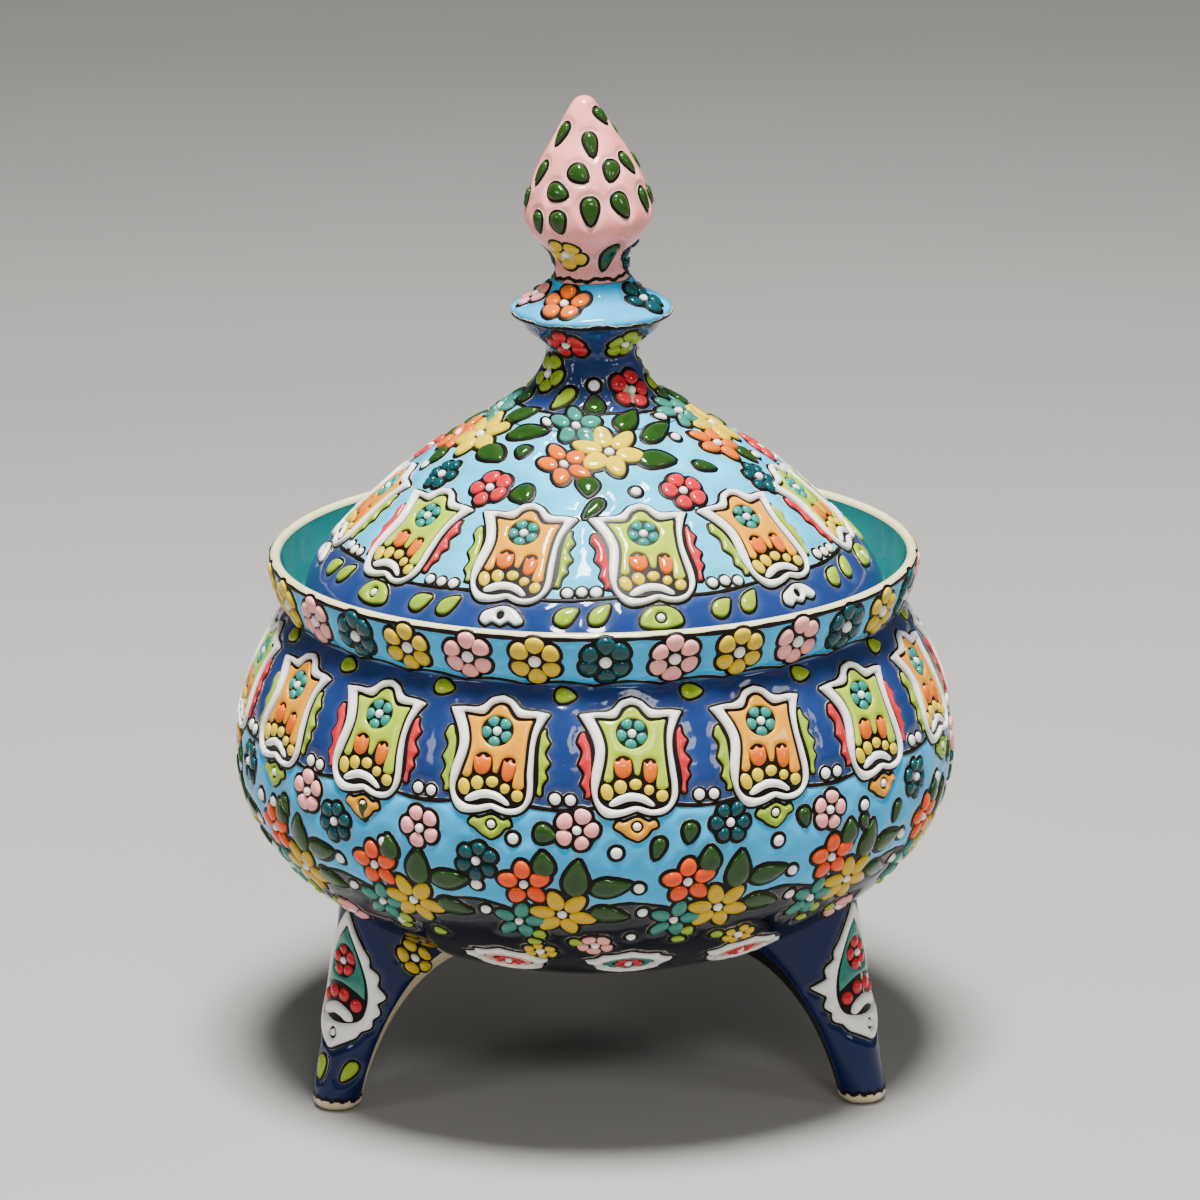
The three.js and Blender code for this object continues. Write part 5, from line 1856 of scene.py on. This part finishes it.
    def ring(self, share: float, angles: Array, pooling: Pooling) -> tuple[Array, Array]:
        """Makes the leg's outline at one height: the glazed round face, the wiped edges and the flat back.

        Args:
            share: The height, as a share of the edges.
            angles: The angles of the round face's points.
            pooling: Where the glaze stands.

        Returns:
            The points in space, and the depth of glass at each.
        """
        _, _, (depth,), (width,) = self.section(np.array([share]))
        back, half, flat = self.back_share * depth, width / 2, self.flat_share * width
        edge = math.hypot(back, half - flat)
        wiped = min(self.wiped_edge * min(share, 1) ** 0.8 / edge, 0.9)
        line = min(wiped + 0.55 / edge, 0.96)
        right = [(back * (1 - k), flat + (half - flat) * (1 - k)) for k in (1 - line, 1 - wiped, 0.97)]
        left = [(out, -over) for out, over in right[::-1]]
        inner = [(0.0, flat * k) for k in (0.9, 0.45, 0, -0.45, -0.9)]
        outward, across = back + (depth - back) * np.cos(angles), half * np.sin(angles)
        outline = np.array([*zip(outward, across), *right, *inner, *left])
        inset = self.rounding * max(1 - share / 0.05, 0) ** 2.2
        points = self.stand(np.full(len(outline), share), inset + outline[:, 0] * (1 - 2 * inset / depth),
                            outline[:, 1] * (1 - 2 * inset / width))
        shares = np.full(len(angles), share)
        bare = self.face(angles, shares, 0 * angles)
        pooled = pooling.share(bare)
        # The glaze thins out to nothing above the wiped foot.
        away = pooled * min(max((share - 0.05) / 0.03, 0), 1)
        lift = np.where(pooled < 1, WELL + (GROUND_RISE - WELL) * away, GROUND_RISE * away)
        points[:len(angles)] += self.face(angles, shares, lift) - bare
        return points, np.concatenate([away, np.ones(len(outline) - len(angles))])

    def build(self) -> None:
        """Makes the leg's body: navy glaze on the round face, wiped clay on the foot and the flat back."""
        pooling = Pooling(self.trail())
        shares = np.concatenate([self.foot_shares, np.linspace(0.064, 1, 96), self.sunk_shares])
        angles = np.linspace(-math.pi / 2, math.pi / 2, 57)
        rings, depths = zip(*(self.ring(share, angles, pooling) for share in shares))
        count, side = len(rings[0]), len(angles)
        points = np.concatenate(rings)
        middle = np.array([0, 0, self.equator])
        size = np.array([self.belly[0], self.belly[0], self.belly[1]]) - self.belly_overlap
        reach = np.linalg.norm((points - middle) / size, axis=1, keepdims=True)
        points = np.where(reach < 1, middle + (points - middle) / np.maximum(reach, 1e-6), points)
        faces, finish = [], []
        for start in range(0, len(points) - count, count):
            for at in range(count):
                onward = (at + 1) % count
                faces.append((start + at, start + onward, start + count + onward, start + count + at))
                above = points[start + at][2] - self.wiped_foot
                wave = 0.35 * math.sin(at * 0.9)
                if above >= wave and (at in (side, count - 3) or above < 1.2 + wave):
                    finish.append(2)
                else:
                    finish.append(1 if above < wave or side < at < count - 3 else 0)
        faces += [tuple(range(count - 1, -1, -1)), tuple(range(len(points) - count, len(points)))]
        navy = Ground.LEG_NAVY.colour(len(points))
        skin = Skin(points, faces, np.concatenate(depths), navy, [*finish, 1, 0])
        finishes = [self.palette.of(FloodedGlaze("flooded_leg_glaze", shine=0.18)),
                    self.palette.of(Biscuit()), self.palette.of(RESIST)]
        make_piece(f"{self.name}_glaze", skin, finishes, self.fitting, [self.name])


# The studio


@dataclass(frozen=True)
class Studio:
    """A pale floor, soft light and a long lens at the photograph's angle."""

    target: tuple[float, float, float] = (1.6, 0.0, 124.0)
    distance: float = 1482.0
    elevation: float = 15.73
    roll: float = 0.41
    lens: float = 171.0
    floor_size: float = 12.0
    lights: tuple[tuple[str, tuple[float, float, float], float, float], ...] = (
        ("overhead", (0.0, -0.26, 1.6), 0.5, 80.0),
        ("front", (0.25, -1.25, 1.05), 0.4, 5.0),
        ("left", (-1.3, -0.9, 0.8), 0.4, 3.5),
        ("right", (1.4, -0.7, 0.75), 0.4, 3.5),
    )

    def floor(self) -> None:
        """Lays the floor."""
        half = self.floor_size / 2
        mesh = bpy.data.meshes.new("floor")
        ends = [(-half, -half, 0), (half, -half, 0), (half, half, 0), (-half, half, 0)]
        mesh.from_pydata(ends, [], [(0, 1, 2, 3)])
        floor = bpy.data.objects.new("floor", mesh)
        bpy.context.scene.collection.objects.link(floor)
        floor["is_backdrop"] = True
        material, add, place = blank_material("matt_paper_sweep")
        mottle = add("ShaderNodeTexNoise", {"Vector": place, "Scale": 6.0})
        tint = add("ShaderNodeMix", {0: mottle, 6: linear("#9c9a96"), 7: linear("#a19f9b")}, data_type="RGBA")
        shader = add("ShaderNodeBsdfPrincipled", {"Base Color": tint.outputs[2], "Roughness": 0.85})
        add("ShaderNodeOutputMaterial", {"Surface": shader})
        mesh.materials.append(material)

    def light(self) -> None:
        """Sets the softboxes and the pale surroundings."""
        for name, place, size, power in self.lights:
            lamp = bpy.data.lights.new(name, "AREA")
            lamp.shape, lamp.size, lamp.energy = "DISK", size, power
            holder = bpy.data.objects.new(name, lamp)
            holder.location = place
            aim = Vector((0, 0, self.target[2] * MM)) - Vector(place)
            holder.rotation_euler = aim.to_track_quat("-Z", "Y").to_euler()
            bpy.context.scene.collection.objects.link(holder)
        world = bpy.data.worlds.new("studio")
        world.use_nodes = True
        world.node_tree.nodes["Background"].inputs[0].default_value = linear("#e8ecf0")
        world.node_tree.nodes["Background"].inputs[1].default_value = 0.16
        bpy.context.scene.world = world

    def camera(self) -> None:
        """Sets the camera."""
        tilt, turn = math.radians(self.elevation), math.radians(self.roll)
        ahead = Vector((0, math.cos(tilt), -math.sin(tilt)))
        right, up = Vector((1, 0, 0)), Vector((0, math.sin(tilt), math.cos(tilt)))
        over = math.cos(turn) * right - math.sin(turn) * up
        above = math.sin(turn) * right + math.cos(turn) * up
        lens = bpy.data.cameras.new("camera")
        lens.lens, lens.sensor_width = self.lens, 36
        lens.clip_start, lens.clip_end = 0.05, 50
        camera = bpy.data.objects.new("camera", lens)
        frame_matrix = Matrix((over, above, -ahead)).transposed().to_4x4()
        frame_matrix.translation = (Vector(self.target) - ahead * self.distance) * MM
        camera.matrix_world = frame_matrix
        bpy.context.scene.collection.objects.link(camera)
        bpy.context.scene.camera = camera

    def build(self) -> None:
        """Makes the studio."""
        self.camera()
        self.floor()
        self.light()


def corners() -> list[list[float]]:
    """Gives the shown object's box as plain lists."""
    return [list(corner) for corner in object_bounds()]


def main() -> None:
    """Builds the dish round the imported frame."""
    logging.basicConfig(level=logging.INFO, format="%(name)s %(message)s")
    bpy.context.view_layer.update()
    Studio().build()
    shared = Palette(), HandRepeat(), Patterns(Brush(SEED))
    left, right, back = Bowl.leg_turns
    for part in (Bowl(*shared), Lid(*shared), Bud(*shared),
                 Leg(*shared, "leg_front_left", left, boteh_place=1.4, flowers=((22.0, 49.0),),
                     drops=((-0.8, 11.4, 4), (8.0, 12.0, -30))),
                 Leg(*shared, "leg_front_right", right, spike=True),
                 Leg(*shared, "leg_back", back, flowers=((-22.0, 48.2), (22.0, 48.2)),
                     drops=((-3.6, 9.2, 14), (3.8, 9.4, -14)))):
        part.build()


if __name__ == "__main__":
    main()
